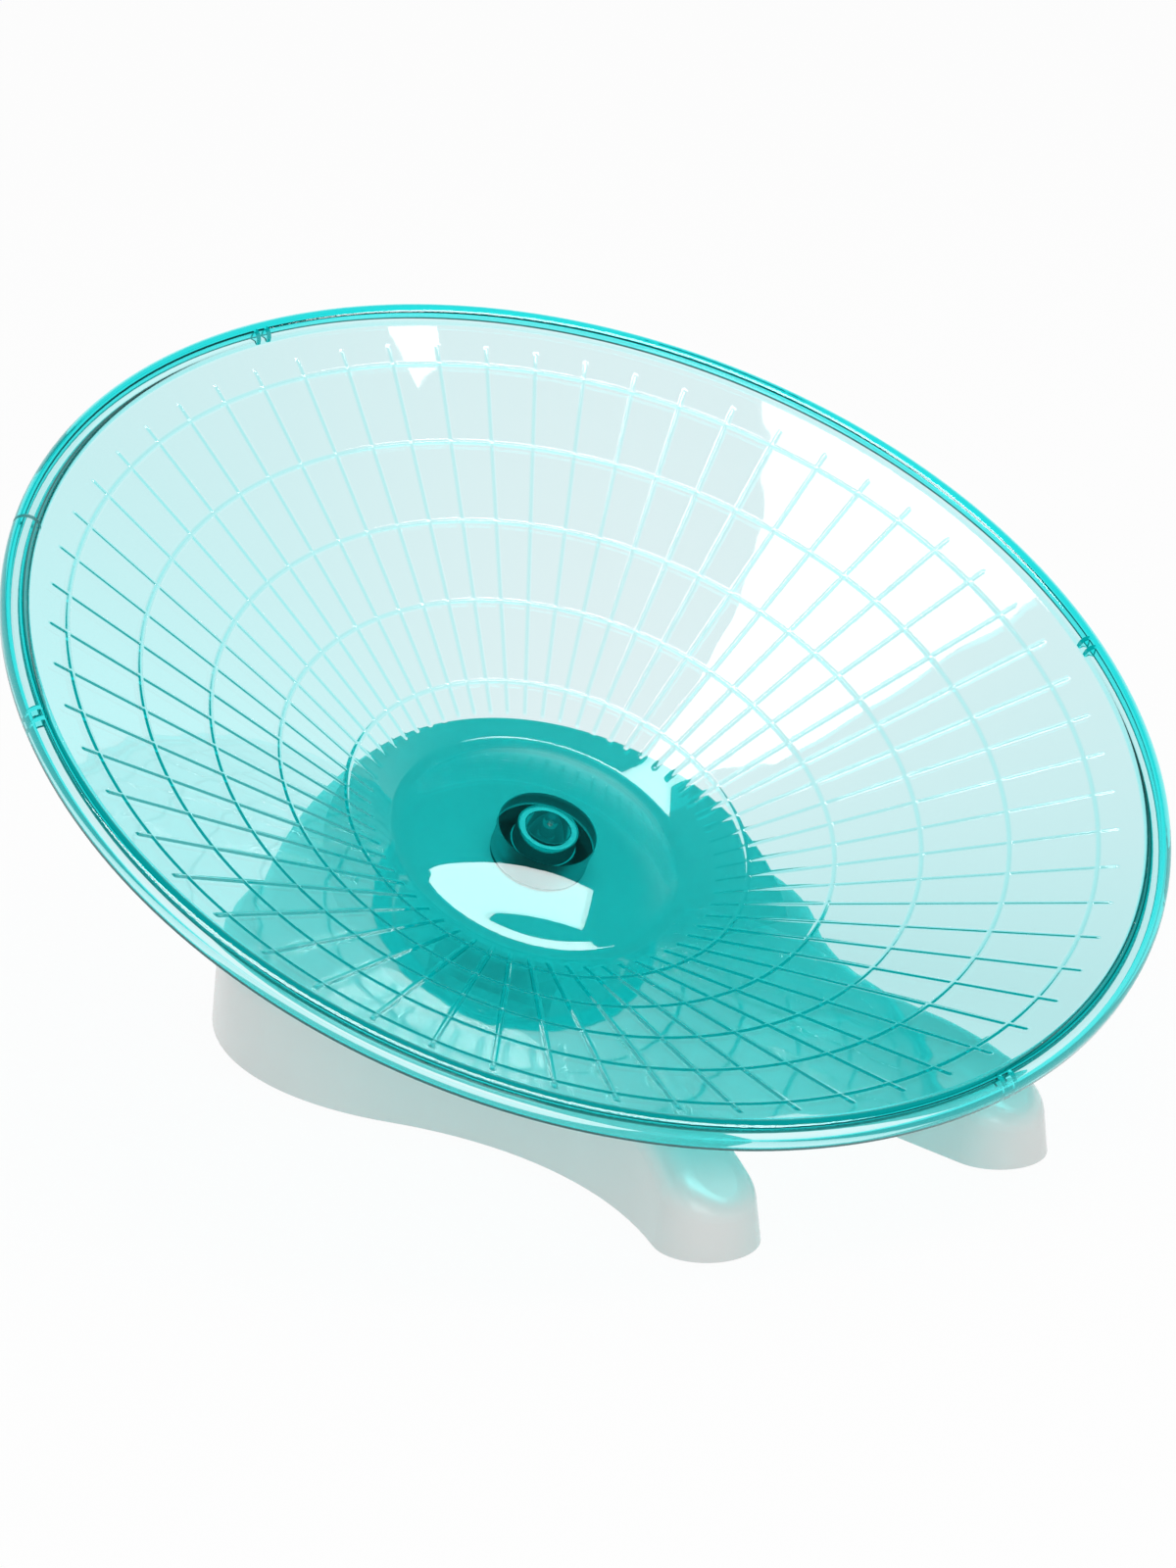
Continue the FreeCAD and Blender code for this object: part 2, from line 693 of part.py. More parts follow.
def raise_on_axle(thing, level):
    """Put a cylinder on the running axis with its lower end at a level."""
    y = axle_y - level * sine(tilt)
    z = axle_z + level * cosine(tilt)
    turn = FreeCAD.Rotation(Vector(1, 0, 0), tilt.value)
    thing.Placement = FreeCAD.Placement(Vector(0, y.value, z.value), turn)
    bind(thing, "Placement.Base.y", y)
    bind(thing, "Placement.Base.z", z)
    bind(thing, "Placement.Rotation.Angle", tilt)


shell = combine("Part::Cut", "stand_skin", Base=outer_form, Tool=cavity_form)

# Inside the stand: hub socket, webs from it to the walls, and bosses for the foot pads
hub_radius = bush_radius + size("hub_wall")
hub_socket = cylinder("hub_socket", hub_radius, size("hub_length"))
raise_on_axle(hub_socket, hub_end)
web = size("web_thickness")
lift = size("web_lift")
web_height = size("pedestal_middle") + size("pedestal_radius")
spine = box("spine_web", web, size("drum_radius") * 2, web_height)
place_on_stand(spine, -web / 2, -size("drum_radius"), lift)
hub_y = axle_y - hub_end * sine(tilt) - drum_y
cross = box("cross_web", size("drum_radius") * 2, web, web_height)
place_on_stand(cross, -size("drum_radius"), hub_y - web / 2, lift)
inner_pieces = [hub_socket, spine, cross]
pad_side = size("pad_side")
boss_side = pad_side + size("pad_boss_wall") * 2
rear_reach = size("drum_radius") - size("rear_pad_inset")
rear_x = rear_reach * cosine(size("rear_pad_angle"))
rear_y = rear_reach * sine(size("rear_pad_angle"))
pad_places = [
    ("front_left", -size("foot_x"), -size("foot_reach")),
    ("front_right", size("foot_x"), -size("foot_reach")),
    ("rear_left", -rear_x, rear_y),
    ("rear_right", rear_x, rear_y),
]
for place, x, y in pad_places:
    boss = box("pad_boss_" + place, boss_side, boss_side, web_height)
    place_on_stand(boss, x - boss_side / 2, y - boss_side / 2, ZERO)
    inner_pieces.append(boss)
for place, x, y in pad_places[:2]:
    leg_web = box("leg_web_" + place, web, size("foot_reach"), web_height)
    place_on_stand(leg_web, x - web / 2, y, lift)
    inner_pieces.append(leg_web)

inner = combine("Part::MultiFuse", "inner_pieces", Shapes=inner_pieces)
inner_trimmed = combine("Part::Common", "inner_trimmed", Base=inner, Tool=outer_form)
filled = combine("Part::Fuse", "stand_filled", Base=shell, Tool=inner_trimmed)

# Openings: the bush's hole through face and socket, clear space below the socket, and the pads' recesses
bush_hole = cylinder("bush_hole", bush_radius, size("hub_length") + size("seat_depth"))
raise_on_axle(bush_hole, hub_end)
clear_radius = size("retainer_radius") + size("hub_wall")
clear_below = cylinder("clear_below_socket", clear_radius, size("hub_height"))
raise_on_axle(clear_below, hub_end - size("hub_height"))
openings = [bush_hole, clear_below]
recess_depth = size("pad_thickness") - size("pad_proud")
for place, x, y in pad_places:
    recess = box("pad_recess_" + place, pad_side, pad_side, recess_depth)
    place_on_stand(recess, x - pad_side / 2, y - pad_side / 2, ZERO)
    openings.append(recess)
all_openings = combine("Part::MultiFuse", "openings", Shapes=openings)
stand = combine("Part::Cut", "stand", Base=filled, Tool=all_openings)
stand.Label = "stand_shell"

# Foot pads: squares of sheet let into the bosses
pads = []
for place, x, y in pad_places:
    pad = box("pad_" + place, pad_side, pad_side, size("pad_thickness"))
    place_on_stand(pad, x - pad_side / 2, y - pad_side / 2, -size("pad_proud"))
    pad.Label = "foot_pad_" + place
    pads.append(pad)

doc.recompute()

# Check everything before any file is written
for thing in doc.Objects:
    if "Invalid" in thing.State or "Error" in thing.State:
        raise RuntimeError("%s failed: %s" % (thing.Name, thing.State))
pieces = [dish, bush, thrust_washer, retainer, screw, stand] + pads
for piece in pieces:
    if piece.Shape.isNull() or not piece.Shape.isValid() or len(piece.Shape.Solids) != 1:
        raise RuntimeError("%s is not one valid solid" % piece.Label)

os.makedirs("parts", exist_ok=True)
for piece in pieces:
    piece.Shape.exportStep("parts/%s.step" % piece.Label)
    extent = piece.Shape.BoundBox
    low = (extent.XMin, extent.YMin, extent.ZMin)
    high = (extent.XMax, extent.YMax, extent.ZMax)
    print("%-22s volume %9.1f" % (piece.Label, piece.Shape.Volume))
    print("    from %7.2f %7.2f %7.2f to %7.2f %7.2f %7.2f" % (low + high))
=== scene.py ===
"""Running disc for small animals: a clear teal dish that spins on a tilted axle over a white stand."""

import json
import logging
import math
from dataclasses import dataclass
from enum import Enum
from typing import Any, Callable, Iterable, Optional, Sequence

import bmesh
import bpy
from bpy.types import ID, Light, Material, Mesh, Node, NodeSocket, NodeTree, Object
from mathutils import Matrix, Quaternion, Vector

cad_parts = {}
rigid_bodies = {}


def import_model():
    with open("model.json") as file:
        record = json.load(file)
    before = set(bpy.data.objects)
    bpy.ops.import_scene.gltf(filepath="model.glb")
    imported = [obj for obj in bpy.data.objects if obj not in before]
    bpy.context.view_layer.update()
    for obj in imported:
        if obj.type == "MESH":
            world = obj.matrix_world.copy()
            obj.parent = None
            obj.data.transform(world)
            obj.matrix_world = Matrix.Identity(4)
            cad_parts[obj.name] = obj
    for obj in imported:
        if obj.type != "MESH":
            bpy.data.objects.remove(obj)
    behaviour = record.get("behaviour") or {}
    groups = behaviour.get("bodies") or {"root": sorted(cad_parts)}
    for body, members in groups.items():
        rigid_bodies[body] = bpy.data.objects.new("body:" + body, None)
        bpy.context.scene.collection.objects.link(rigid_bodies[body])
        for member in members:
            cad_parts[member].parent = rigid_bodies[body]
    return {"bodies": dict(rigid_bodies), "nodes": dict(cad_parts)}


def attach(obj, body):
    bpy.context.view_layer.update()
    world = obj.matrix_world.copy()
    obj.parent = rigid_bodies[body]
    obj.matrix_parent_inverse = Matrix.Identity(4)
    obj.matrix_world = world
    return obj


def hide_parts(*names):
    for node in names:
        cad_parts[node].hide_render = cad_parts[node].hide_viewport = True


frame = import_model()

log = logging.getLogger("running_disc")

MM = 0.001
FULL_TURN = 2 * math.pi
WHITE = (1.0, 1.0, 1.0, 1.0)
Point = tuple[float, float]
Triple = tuple[float, float, float]

# Places of points across a rib and across a raised ring, in half widths from the middle.
RIB_ACROSS = (-1.3, -1.0, -0.6, -0.25, 0.25, 0.6, 1.0, 1.3)
RING_ACROSS = (-1.25, -1.0, -0.6, -0.25, 0.25, 0.6, 1.0, 1.25)
# Places of points along a rib's end, in easing lengths from the tip.
RIB_END = (-0.3, 0.0, 0.35, 0.7, 1.0)
# Places of points between two ribs, in shares of the sector.
BETWEEN_RIBS = (0.32, 0.5, 0.68)
# Share of a ridge's half width in which its flank rises.
FLANK = 0.9
# Distance in millimetres along a straight stretch at which a point gives its direction.
AHEAD = 5.0
# Allowance for rounding between angles in radians, and distance in metres within which points are one.
SAME_ANGLE = 1e-6
SAME_PLACE = 1e-7


class Side(Enum):
    """Whether a ring of the dish lies on the running face, which carries the ribs, or elsewhere."""

    RUNNING = 1.0
    OTHER = 0.0


class LampRole(Enum):
    """What a lamp is for: to light the object, or only to show as a reflection in its gloss."""

    LIGHT = "light"
    SHEEN = "sheen"


class Field:
    """A node socket that takes part in Python arithmetic, one Math node for each operation."""

    def __init__(self, graph: "Graph", socket: NodeSocket) -> None:
        """Keep the socket and the tree that it belongs to."""
        self.graph = graph
        self.socket = socket

    def __add__(self, other: Any) -> "Field":
        """Sum."""
        return self.graph.math("ADD", self, other)

    def __sub__(self, other: Any) -> "Field":
        """Difference."""
        return self.graph.math("SUBTRACT", self, other)

    def __rsub__(self, other: Any) -> "Field":
        """Difference with a plain number first."""
        return self.graph.math("SUBTRACT", other, self)

    def __mul__(self, other: Any) -> "Field":
        """Product."""
        return self.graph.math("MULTIPLY", self, other)

    def __truediv__(self, other: Any) -> "Field":
        """Quotient."""
        return self.graph.math("DIVIDE", self, other)

    def __rtruediv__(self, other: Any) -> "Field":
        """Quotient with a plain number first."""
        return self.graph.math("DIVIDE", other, self)

    def __abs__(self) -> "Field":
        """Absolute value."""
        return self.graph.math("ABSOLUTE", self)

    __radd__ = __add__
    __rmul__ = __mul__


class Graph:
    """One node tree, emptied and then written as calls and Python expressions."""

    def __init__(self, tree: NodeTree) -> None:
        """Keep the tree and remove its nodes."""
        self.tree = tree
        tree.nodes.clear()

    def node(self, kind: str, inputs: Optional[dict] = None, **settings: Any) -> Node:
        """Add one node.

        Args:
            kind: the node's type name.
            inputs: what is fed to the node's inputs, by name or number.
            settings: properties of the node, set before its inputs.

        Returns:
            The new node.
        """
        made = self.tree.nodes.new(kind)
        for key, value in settings.items():
            setattr(made, key, value)
        for key, value in (inputs or {}).items():
            self.feed(made.inputs[key], value)
        return made

    def feed(self, socket: NodeSocket, value: Any) -> None:
        """Link a field, a node's first output or a socket to an input, or set the input's value.

        Args:
            socket: the input.
            value: a field, a node, the socket of an output, or a plain value.
        """
        source = value.socket if isinstance(value, Field) else value
        source = source.outputs[0] if isinstance(source, Node) else source
        if isinstance(source, NodeSocket):
            self.tree.links.new(source, socket)
        else:
            socket.default_value = source

    def field(self, socket: NodeSocket) -> Field:
        """Wrap an output for arithmetic."""
        return Field(self, socket)

    def ray(self, output: str) -> Field:
        """One of the outputs of Light Path."""
        return Field(self, self.node("ShaderNodeLightPath").outputs[output])

    def math(self, operation: str, *values: Any) -> Field:
        """Add a Math node.

        Args:
            operation: the Math node's operation.
            values: fields or numbers for its inputs.

        Returns:
            The result as a field.
        """
        made = self.node("ShaderNodeMath", dict(enumerate(values)), operation=operation)
        return Field(self, made.outputs[0])

    def ease(self, value: Field, low: float, high: float) -> Field:
        """Ramp a field smoothly from 0 to 1.

        Args:
            value: the field.
            low: where the result is 0.
            high: where the result is 1.

        Returns:
            The result as a field.
        """
        made = self.node(
            "ShaderNodeMapRange",
            {"Value": value, "From Min": low, "From Max": high, "To Min": 0.0, "To Max": 1.0},
            interpolation_type="SMOOTHSTEP",
        )
        return Field(self, made.outputs[0])

    def mix(self, share: Any, first: Any, second: Any) -> NodeSocket:
        """Add a node that mixes two colours.

        Args:
            share: 0 for the first colour and 1 for the second.
            first: a colour or its socket.
            second: a colour or its socket.

        Returns:
            The mixed colour's socket.
        """
        made = self.node("ShaderNodeMix", {"Factor": share, 6: first, 7: second}, data_type="RGBA")
        return made.outputs[2]

    def noise(self, scale: float, detail: float) -> Field:
        """Add noise over Object coordinates.

        Args:
            scale: features per metre.
            detail: octaves.

        Returns:
            The noise's value, about 0.5 in the mean.
        """
        place = self.node("ShaderNodeTexCoord").outputs["Object"]
        inputs = {"Vector": place, "Scale": scale, "Detail": detail}
        return Field(self, self.node("ShaderNodeTexNoise", inputs).outputs[0])

    def give(self, geometry: Node, material: NodeSocket) -> None:
        """End a geometry tree: make instances real, set the material and give the result.

        Args:
            geometry: the node that gives what the tree has made.
            material: the socket of the material.
        """
        whole = self.node("GeometryNodeRealizeInstances", {0: geometry})
        dressed = self.node("GeometryNodeSetMaterial", {"Geometry": whole, "Material": material})
        self.node("NodeGroupOutput", {0: dressed})


def new_material(name: str) -> tuple[Material, Graph]:
    """Make an empty node material.

    Args:
        name: the material's name.

    Returns:
        The material and its graph.
    """
    material = bpy.data.materials.new(name)
    material.use_nodes = True
    return material, Graph(material.node_tree)


@dataclass(frozen=True)
class ClearPlastic:
    """Tinted clear plastic that takes red light out along the way through it.

    A ray that is reflected more often than the depth limit takes a painted teal glow, which stands in for the
    light that repeated reflections inside carry. The frost and shade colour darkens the frosted places:
    painted shade on the boss's side, and the flow line's own mark on the rim.
    """

    name: str = "clear_teal_plastic"
    tint: Triple = (0.0, 0.963, 0.961)
    density: float = 800.0
    ior: float = 1.49
    roughness: float = 0.015
    frost_roughness: float = 0.55
    frost_and_shade_colour: Triple = (0.05, 0.2, 0.2)
    painted_glow_colour: Triple = (0.0, 0.5, 0.51)
    depth_limit: float = 1.5
    flow_scale: float = 34.0
    flow_depth: float = 0.00022
    flow_strength: float = 0.5
    haze_share: float = 0.4
    shadow_level: float = 0.94

    def material(self) -> Material:
        """Build the material: polished plastic with faint flow ripples, an absorbing body, a painted glow for
        trapped rays, and painted shade where it is frosted on the boss's side.

        Returns:
            The new material.
        """
        material, graph = new_material(self.name)
        ripple = graph.noise(self.flow_scale, detail=1.0)
        bump = graph.node(
            "ShaderNodeBump",
            {"Strength": self.flow_strength, "Distance": self.flow_depth, "Height": ripple},
        )
        haze = graph.noise(self.flow_scale * self.haze_share, detail=3.0)
        frost_and_painted_shade = graph.field(graph.node("ShaderNodeAttribute", attribute_name="frost_and_painted_shade").outputs["Fac"])
        polish = self.roughness + haze * self.roughness
        # Painted shade: frosted places darken the light through them, which on the boss's side stands in for
        # shade.
        colour = graph.mix(frost_and_painted_shade, WHITE, (*self.frost_and_shade_colour, 1.0))
        plastic = graph.node(
            "ShaderNodeBsdfPrincipled",
            {
                "Base Color": colour,
                "Roughness": polish + frost_and_painted_shade * self.frost_roughness,
                "IOR": self.ior,
                "Transmission Weight": 1.0,
                "Normal": bump,
            },
        )
        level = self.shadow_level
        through = graph.node("ShaderNodeBsdfTransparent", {"Color": (level, level, level, 1.0)})
        # Painted glow: a ray trapped past the depth limit shows a teal emission in place of the light it
        # would carry.
        depth = graph.node("ShaderNodeEmission", {"Color": (*self.painted_glow_colour, 1.0)})
        trapped = graph.math("GREATER_THAN", graph.ray("Glossy Depth"), self.depth_limit)
        lit = graph.node("ShaderNodeMixShader", {0: trapped, 1: plastic, 2: depth})
        surface = graph.node("ShaderNodeMixShader", {0: graph.ray("Is Shadow Ray"), 1: lit, 2: through})
        body = graph.node(
            "ShaderNodeVolumeAbsorption", {"Color": (*self.tint, 1.0), "Density": self.density}
        )
        graph.node("ShaderNodeOutputMaterial", {"Surface": surface, "Volume": body})
        return material


@dataclass(frozen=True)
class SolidFinish:
    """An opaque finish: a base colour with slow variation, fine grain in the surface and some gloss."""

    name: str
    colour: Triple
    roughness: float
    roughness_spread: float = 0.08
    shade_spread: float = 0.03
    patch_scale: float = 14.0
    grain_scale: float = 900.0
    grain_depth: float = 0.00002
    metallic: float = 0.0
    coat: float = 0.0
    coat_roughness: float = 0.12
    grain_strength: float = 0.6
    patch_low: float = 0.3
    patch_high: float = 0.7

    def material(self) -> Material:
        """Build the material.

        Returns:
            The new material.
        """
        material, graph = new_material(self.name)
        patches = graph.noise(self.patch_scale, detail=4.0)
        grain = graph.noise(self.grain_scale, detail=2.0)
        bump = graph.node(
            "ShaderNodeBump",
            {"Strength": self.grain_strength, "Distance": self.grain_depth, "Height": grain},
        )
        surface = graph.node(
            "ShaderNodeBsdfPrincipled",
            {
                "Base Color": self.base_colour(graph, patches),
                "Roughness": self.roughness + (patches - 0.5) * self.roughness_spread,
                "Metallic": self.metallic,
                "Coat Weight": self.coat,
                "Coat Roughness": self.coat_roughness,
                "Normal": bump,
            },
        )
        graph.node("ShaderNodeOutputMaterial", {"Surface": surface})
        return material

    def base_colour(self, graph: Graph, patches: Field) -> NodeSocket:
        """The colour, a little lighter and darker in slow patches.

        Args:
            graph: the material's graph.
            patches: noise about 0.5.

        Returns:
            The colour's socket.
        """
        dark = tuple(level * (1.0 - self.shade_spread) for level in self.colour)
        light = tuple(min(1.0, level * (1.0 + self.shade_spread)) for level in self.colour)
        share = graph.ease(patches, self.patch_low, self.patch_high)
        return graph.mix(share, (*dark, 1.0), (*light, 1.0))


@dataclass(frozen=True)
class GapShadedBush(SolidFinish):
    """A bush whose upper end keeps its plain colour and whose side is darkened with painted shade, for the
    deep gap that it sits in.
    """

    gap_shade: Triple = (0.02, 0.03, 0.03)
    axle: Triple = (0.0, -0.47486, 0.88006)
    unshaded_from: float = 0.0349
    unshaded_to: float = 0.0351

    def base_colour(self, graph: Graph, patches: Field) -> NodeSocket:
        """The painted shade's colour along the side, and the plain colour at the upper end.

        Args:
            graph: the material's graph.
            patches: noise about 0.5.

        Returns:
            The colour's socket.
        """
        place = graph.node("ShaderNodeTexCoord").outputs["Object"]
        along = graph.node("ShaderNodeVectorMath", {0: place, 1: self.axle}, operation="DOT_PRODUCT")
        # Painted shade: below the upper end the side takes the dark colour, for the shade of the deep gap.
        unshaded = graph.ease(graph.field(along.outputs["Value"]), self.unshaded_from, self.unshaded_to)
        return graph.mix(unshaded, (*self.gap_shade, 1.0), super().base_colour(graph, patches))


CLEAR_TEAL = ClearPlastic()
STAND_WHITE = SolidFinish("stand_white_plastic", (0.775, 0.735, 0.725), roughness=0.26, coat=0.25)
BUSH_WHITE = GapShadedBush("bush_white_plastic", (0.9, 0.9, 0.9), roughness=0.42)
# Painted shade: the thrust washer is made dark to stand in for the shade deep under the boss.
WASHER_PAINTED_SHADE = SolidFinish(
    "washer_painted_shade",
    (0.03, 0.034, 0.035),
    roughness=0.45,
    roughness_spread=0.1,
    shade_spread=0.12,
)
ZINC_STEEL = SolidFinish(
    "zinc_plated_steel",
    (0.62, 0.62, 0.64),
    roughness=0.3,
    roughness_spread=0.2,
    shade_spread=0.08,
    patch_scale=60.0,
    grain_scale=1400.0,
    grain_depth=0.000015,
    metallic=1.0,
)
PAD_RUBBER = SolidFinish(
    "pad_rubber",
    (0.035, 0.036, 0.038),
    roughness=0.78,
    roughness_spread=0.12,
    shade_spread=0.2,
    patch_scale=90.0,
    grain_scale=2200.0,
    grain_depth=0.00006,
)


def link_object(name: str, content: ID) -> Object:
    """Put a mesh, a lamp or a camera into the scene as an object at the origin.

    Args:
        name: the object's name.
        content: the object's data.

    Returns:
        The new object.
    """
    made = bpy.data.objects.new(name, content)
    bpy.context.scene.collection.objects.link(made)
    return made


def new_tree(name: str, inputs: dict[str, str]) -> tuple[NodeTree, Graph]:
    """Make a geometry node tree that takes geometry and gives geometry.

    Args:
        name: the tree's name.
        inputs: the kinds of its other inputs, by name.

    Returns:
        The tree and its graph.
    """
    tree = bpy.data.node_groups.new(name, "GeometryNodeTree")
    tree.interface.new_socket("Geometry", in_out="INPUT", socket_type="NodeSocketGeometry")
    for key, kind in inputs.items():
        tree.interface.new_socket(key, in_out="INPUT", socket_type="NodeSocket" + kind)
    tree.interface.new_socket("Geometry", in_out="OUTPUT", socket_type="NodeSocketGeometry")
    return tree, Graph(tree)


def bake_tree(piece: Object, tree: NodeTree, values: dict[str, Any]) -> None:
    """Run a geometry node tree on an object and keep the result as its plain mesh.

    Args:
        piece: the object.
        tree: the node tree.
        values: the tree's inputs, by name.
    """
    modifier = piece.modifiers.new(tree.name, "NODES")
    modifier.node_group = tree
    for item in tree.interface.items_tree:
        if item.in_out == "INPUT" and item.name in values:
            modifier[item.identifier] = values[item.name]
    bpy.context.view_layer.update()
    graph = bpy.context.evaluated_depsgraph_get()
    mesh = bpy.data.meshes.new_from_object(
        piece.evaluated_get(graph), preserve_all_data_layers=True, depsgraph=graph
    )
    old = piece.data
    piece.modifiers.clear()
    piece.data = mesh
    bpy.data.meshes.remove(old)


def round_corner(before: Point, corner: Point, after: Point, radius: float, steps: int) -> list[Point]:
    """Replace one corner of a profile by an arc.

    Args:
        before: the profile's point before the corner.
        corner: the corner.
        after: the point after it.
        radius: the arc's radius.
        steps: flats along the arc.

    Returns:
        The arc's points, from first to last.
    """
    here = Vector(corner)
    back = (Vector(before) - here).normalized()
    ahead = (Vector(after) - here).normalized()
    half = back.angle(ahead) / 2
    reach = radius / math.tan(half)
    centre = here + (back + ahead).normalized() * (radius / math.sin(half))
    start = here + back * reach - centre
    end = here + ahead * reach - centre
    turn = start.angle_signed(end)
    points = []
    for step in range(steps + 1):
        angle = -turn * step / steps
        cos, sin = math.cos(angle), math.sin(angle)
        points.append(
            (centre.x + start.x * cos - start.y * sin, centre.y + start.x * sin + start.y * cos)
        )
    return points


@dataclass
class Row:
    """One ring of the dish's surface, radius and level in millimetres.

    The side tells whether it lies on the running face, channel that it lies in the rim's channel, frost and
    painted shade how matt and how darkened it is, from 0 to 1, and bead that it lies on the rim's crest. The
    darkening is painted shade on the boss's side and the flow line's own mark on the rim.
    """

    radius: float
    level: float
    side: Side = Side.OTHER
    channel: bool = False
    frost_and_painted_shade: float = 0.0
    bead: bool = False


@dataclass
class RunningDish:
    """The clear dish: domed floor, ribbed running wall, rolled rim, and the boss and post below.

    Lengths are in millimetres and angles in degrees, apart from the least gap between columns, in radians.
    """

    tilt: float = 28.35
    foot: Triple = (0.0, 35.328, 34.574)
    wall: float = 2.2
    slope: float = 29.45
    gate: tuple[Point, ...] = ((0.0, 0.55), (0.55, 0.53), (0.85, 0.35), (1.0, 0.02), (1.5, 0.0))
    dome_level: float = 24.8
    dome_radius: float = 35.1
    dome_drop: float = 7.2
    dome_start: float = 3.0
    dome_steps: int = 13
    under_dome_steps: int = 8
    valley_level: float = 16.8
    valley_width: float = 2.6
    valley_round: float = 3.0
    under_valley_width: float = 2.3
    under_rounds: Triple = (4.0, 1.5, 3.0)
    wall_foot: float = 40.0
    foot_round: float = 2.0
    rim_radius: float = 150.0
    bead_radius: float = 3.5
    bead_steps: int = 16
    root_round: float = 0.5
    lip: float = 2.3
    lip_round: float = 0.3
    lip_rise: float = 0.2
    channel_steps: int = 8
    channel_round: float = 0.25
    skirt: float = 2.0
    skirt_round: float = 0.35
    skirt_bulge: float = 0.1
    rib_count: int = 60
    rib_half_width: float = 0.8
    rib_rise: float = 0.32
    rib_inner: float = 45.6
    rib_outer: float = 138.0
    rib_ease: float = 0.9
    ring_count: int = 5
    ring_radius: float = 53.7
    ring_step: float = 19.8
    ring_half_width: float = 0.85
    ring_rise: float = 0.36
    web_angles: tuple[float, ...] = (-9.0, 99.0, 171.0, 279.0)
    web_spacing: float = 3.5
    web_width: float = 1.2
    web_edge: float = 0.12
    weld_angle: float = 144.0
    weld_half_width: float = 0.2
    boss_radius: float = 12.85
    boss_bore: float = 8.0
    boss_level: float = 12.75
    boss_gap: float = 0.6
    side_frost_and_shade: float = 0.6
    post_radius: float = 5.75
    groove_level: float = 22.6
    axle_edges: Triple = (0.2, 0.3, 0.4)
    screw_hole: float = 2.05
    screw_depth: float = 9.0
    drill_shoulder: float = 0.5
    drill_tip: float = 0.6
    lower_columns: int = 240
    least_gap: float = 0.004
    sharp_angle: float = 48.0
    finish: ClearPlastic = CLEAR_TEAL

    def wall_level(self, radius: float) -> float:
        """Height of the running surface at a radius."""
        return self.valley_level + (radius - self.wall_foot) * math.tan(math.radians(self.slope))

    def under_level(self, radius: float) -> float:
        """Height of the wall's lower face at a radius."""
        return self.wall_level(radius) - self.wall / math.cos(math.radians(self.slope))

    def placement(self) -> Matrix:
        """The turn and shift, in metres, that set the dish on its tilted axle."""
        shift = Matrix.Translation(Vector(self.foot) * MM)
        return shift @ Matrix.Rotation(math.radians(self.tilt), 4, "X")

    def dome_rows(self, radius: float, top: float, start: float, steps: int) -> list[Point]:
        """Points along a dome.

        Args:
            radius: the sphere's radius.
            top: the level of the sphere's top.
            start: distance from the axis of the first point.
            steps: flats from there to the dome's edge.

        Returns:
            Points from the axis outwards.
        """
        share = radius / self.sphere()
        points = []
        for step in range(steps + 1):
            out = start + (self.dome_radius * share - start) * step / steps
            points.append((out, top - radius + math.sqrt(radius * radius - out * out)))
        return points

    def sphere(self) -> float:
        """Radius of the sphere that the domed floor is part of."""
        return (self.dome_radius ** 2 + self.dome_drop ** 2) / (2 * self.dome_drop)

    def upper_rows(self) -> list[Row]:
        """Rings of the upper face, from the gate mark in the middle out to the rim's crest.

        Returns:
            The rings, from the axis outwards.
        """
        rows = [Row(radius, self.dome_level + rise) for radius, rise in self.gate]
        dome = self.dome_rows(self.sphere(), self.dome_level, self.dome_start, self.dome_steps)
        valley_in = (self.wall_foot - self.valley_width, self.valley_level)
        valley_out = (self.wall_foot, self.valley_level)
        up = (self.wall_foot + AHEAD, self.wall_level(self.wall_foot + AHEAD))
        floor = dome[:-1]
        floor += round_corner(dome[-3], dome[-1], valley_in, self.valley_round, steps=3)
        floor += round_corner(dome[-1], valley_in, valley_out, self.valley_round, steps=3)
        floor += round_corner(valley_in, valley_out, up, self.foot_round, steps=4)
        rows += [Row(*point) for point in floor]
        for radius in self.wall_stations():
            rows.append(Row(radius, self.wall_level(radius), Side.RUNNING))
        middle = self.rim_radius - self.bead_radius
        root = middle - self.bead_radius
        level = self.wall_level(root)
        below = (root - AHEAD, self.wall_level(root - AHEAD))
        corner = round_corner(below, (root, level), (root, level + AHEAD), self.root_round, steps=4)
        rows += [Row(*point) for point in corner]
        for step in range(1, self.bead_steps + 1):
            angle = math.radians(180.0 - 180.0 * step / self.bead_steps)
            height = self.bead_radius * math.sin(angle)
            if height > corner[-1][1] - level or step > self.bead_steps // 2:
                rows.append(Row(middle + self.bead_radius * math.cos(angle), level + height, bead=True))
        return self.with_supports(rows)

    @staticmethod
    def with_supports(rows: Sequence[Row]) -> list[Row]:
        """Add rings close to the bends of a profile, so that the shading of a bend stays near it.

        Args:
            rows: the rings in order.

        Returns:
            The same rings, with one more beside a bend where a long flat starts or ends.
        """
        near, long, bend = 0.12, 1.2, math.radians(6.0)
        places = [Vector((row.radius, row.level)) for row in rows]
        steps = [after - before for before, after in zip(places, places[1:])]
        bent = [False] + [one.angle(two, 0.0) > bend for one, two in zip(steps, steps[1:])] + [False]
        done = [rows[0]]
        for number, step in enumerate(steps):
            first, last = rows[number], rows[number + 1]
            share = near / max(step.length, near)
            shares = [share] * bent[number] + [1.0 - share] * bent[number + 1]
            for part in shares if step.length > long else []:
                place = places[number] + step * part
                close = first if part < 0.5 else last
                done.append(Row(place.x, place.y, close.side, first.channel and last.channel, close.frost_and_painted_shade))
            done.append(last)
        return done

    def wall_stations(self) -> list[float]:
        """Radii of the running wall's points, close together at the raised rings and the ribs' ends.

        Returns:
            Radii, from the axis outwards.
        """
        run = math.cos(math.radians(self.slope)) * self.ring_half_width
        near = [self.rib_inner + self.rib_ease * share for share in RIB_END]
        far = [self.rib_outer - self.rib_ease * share for share in reversed(RIB_END)]
        rings = [middle + run * share for middle in self.ring_middles() for share in RING_ACROSS]
        between = [middle + self.ring_step / 2 for middle in self.ring_middles()[:-1]]
        return near + sorted(rings + between) + far

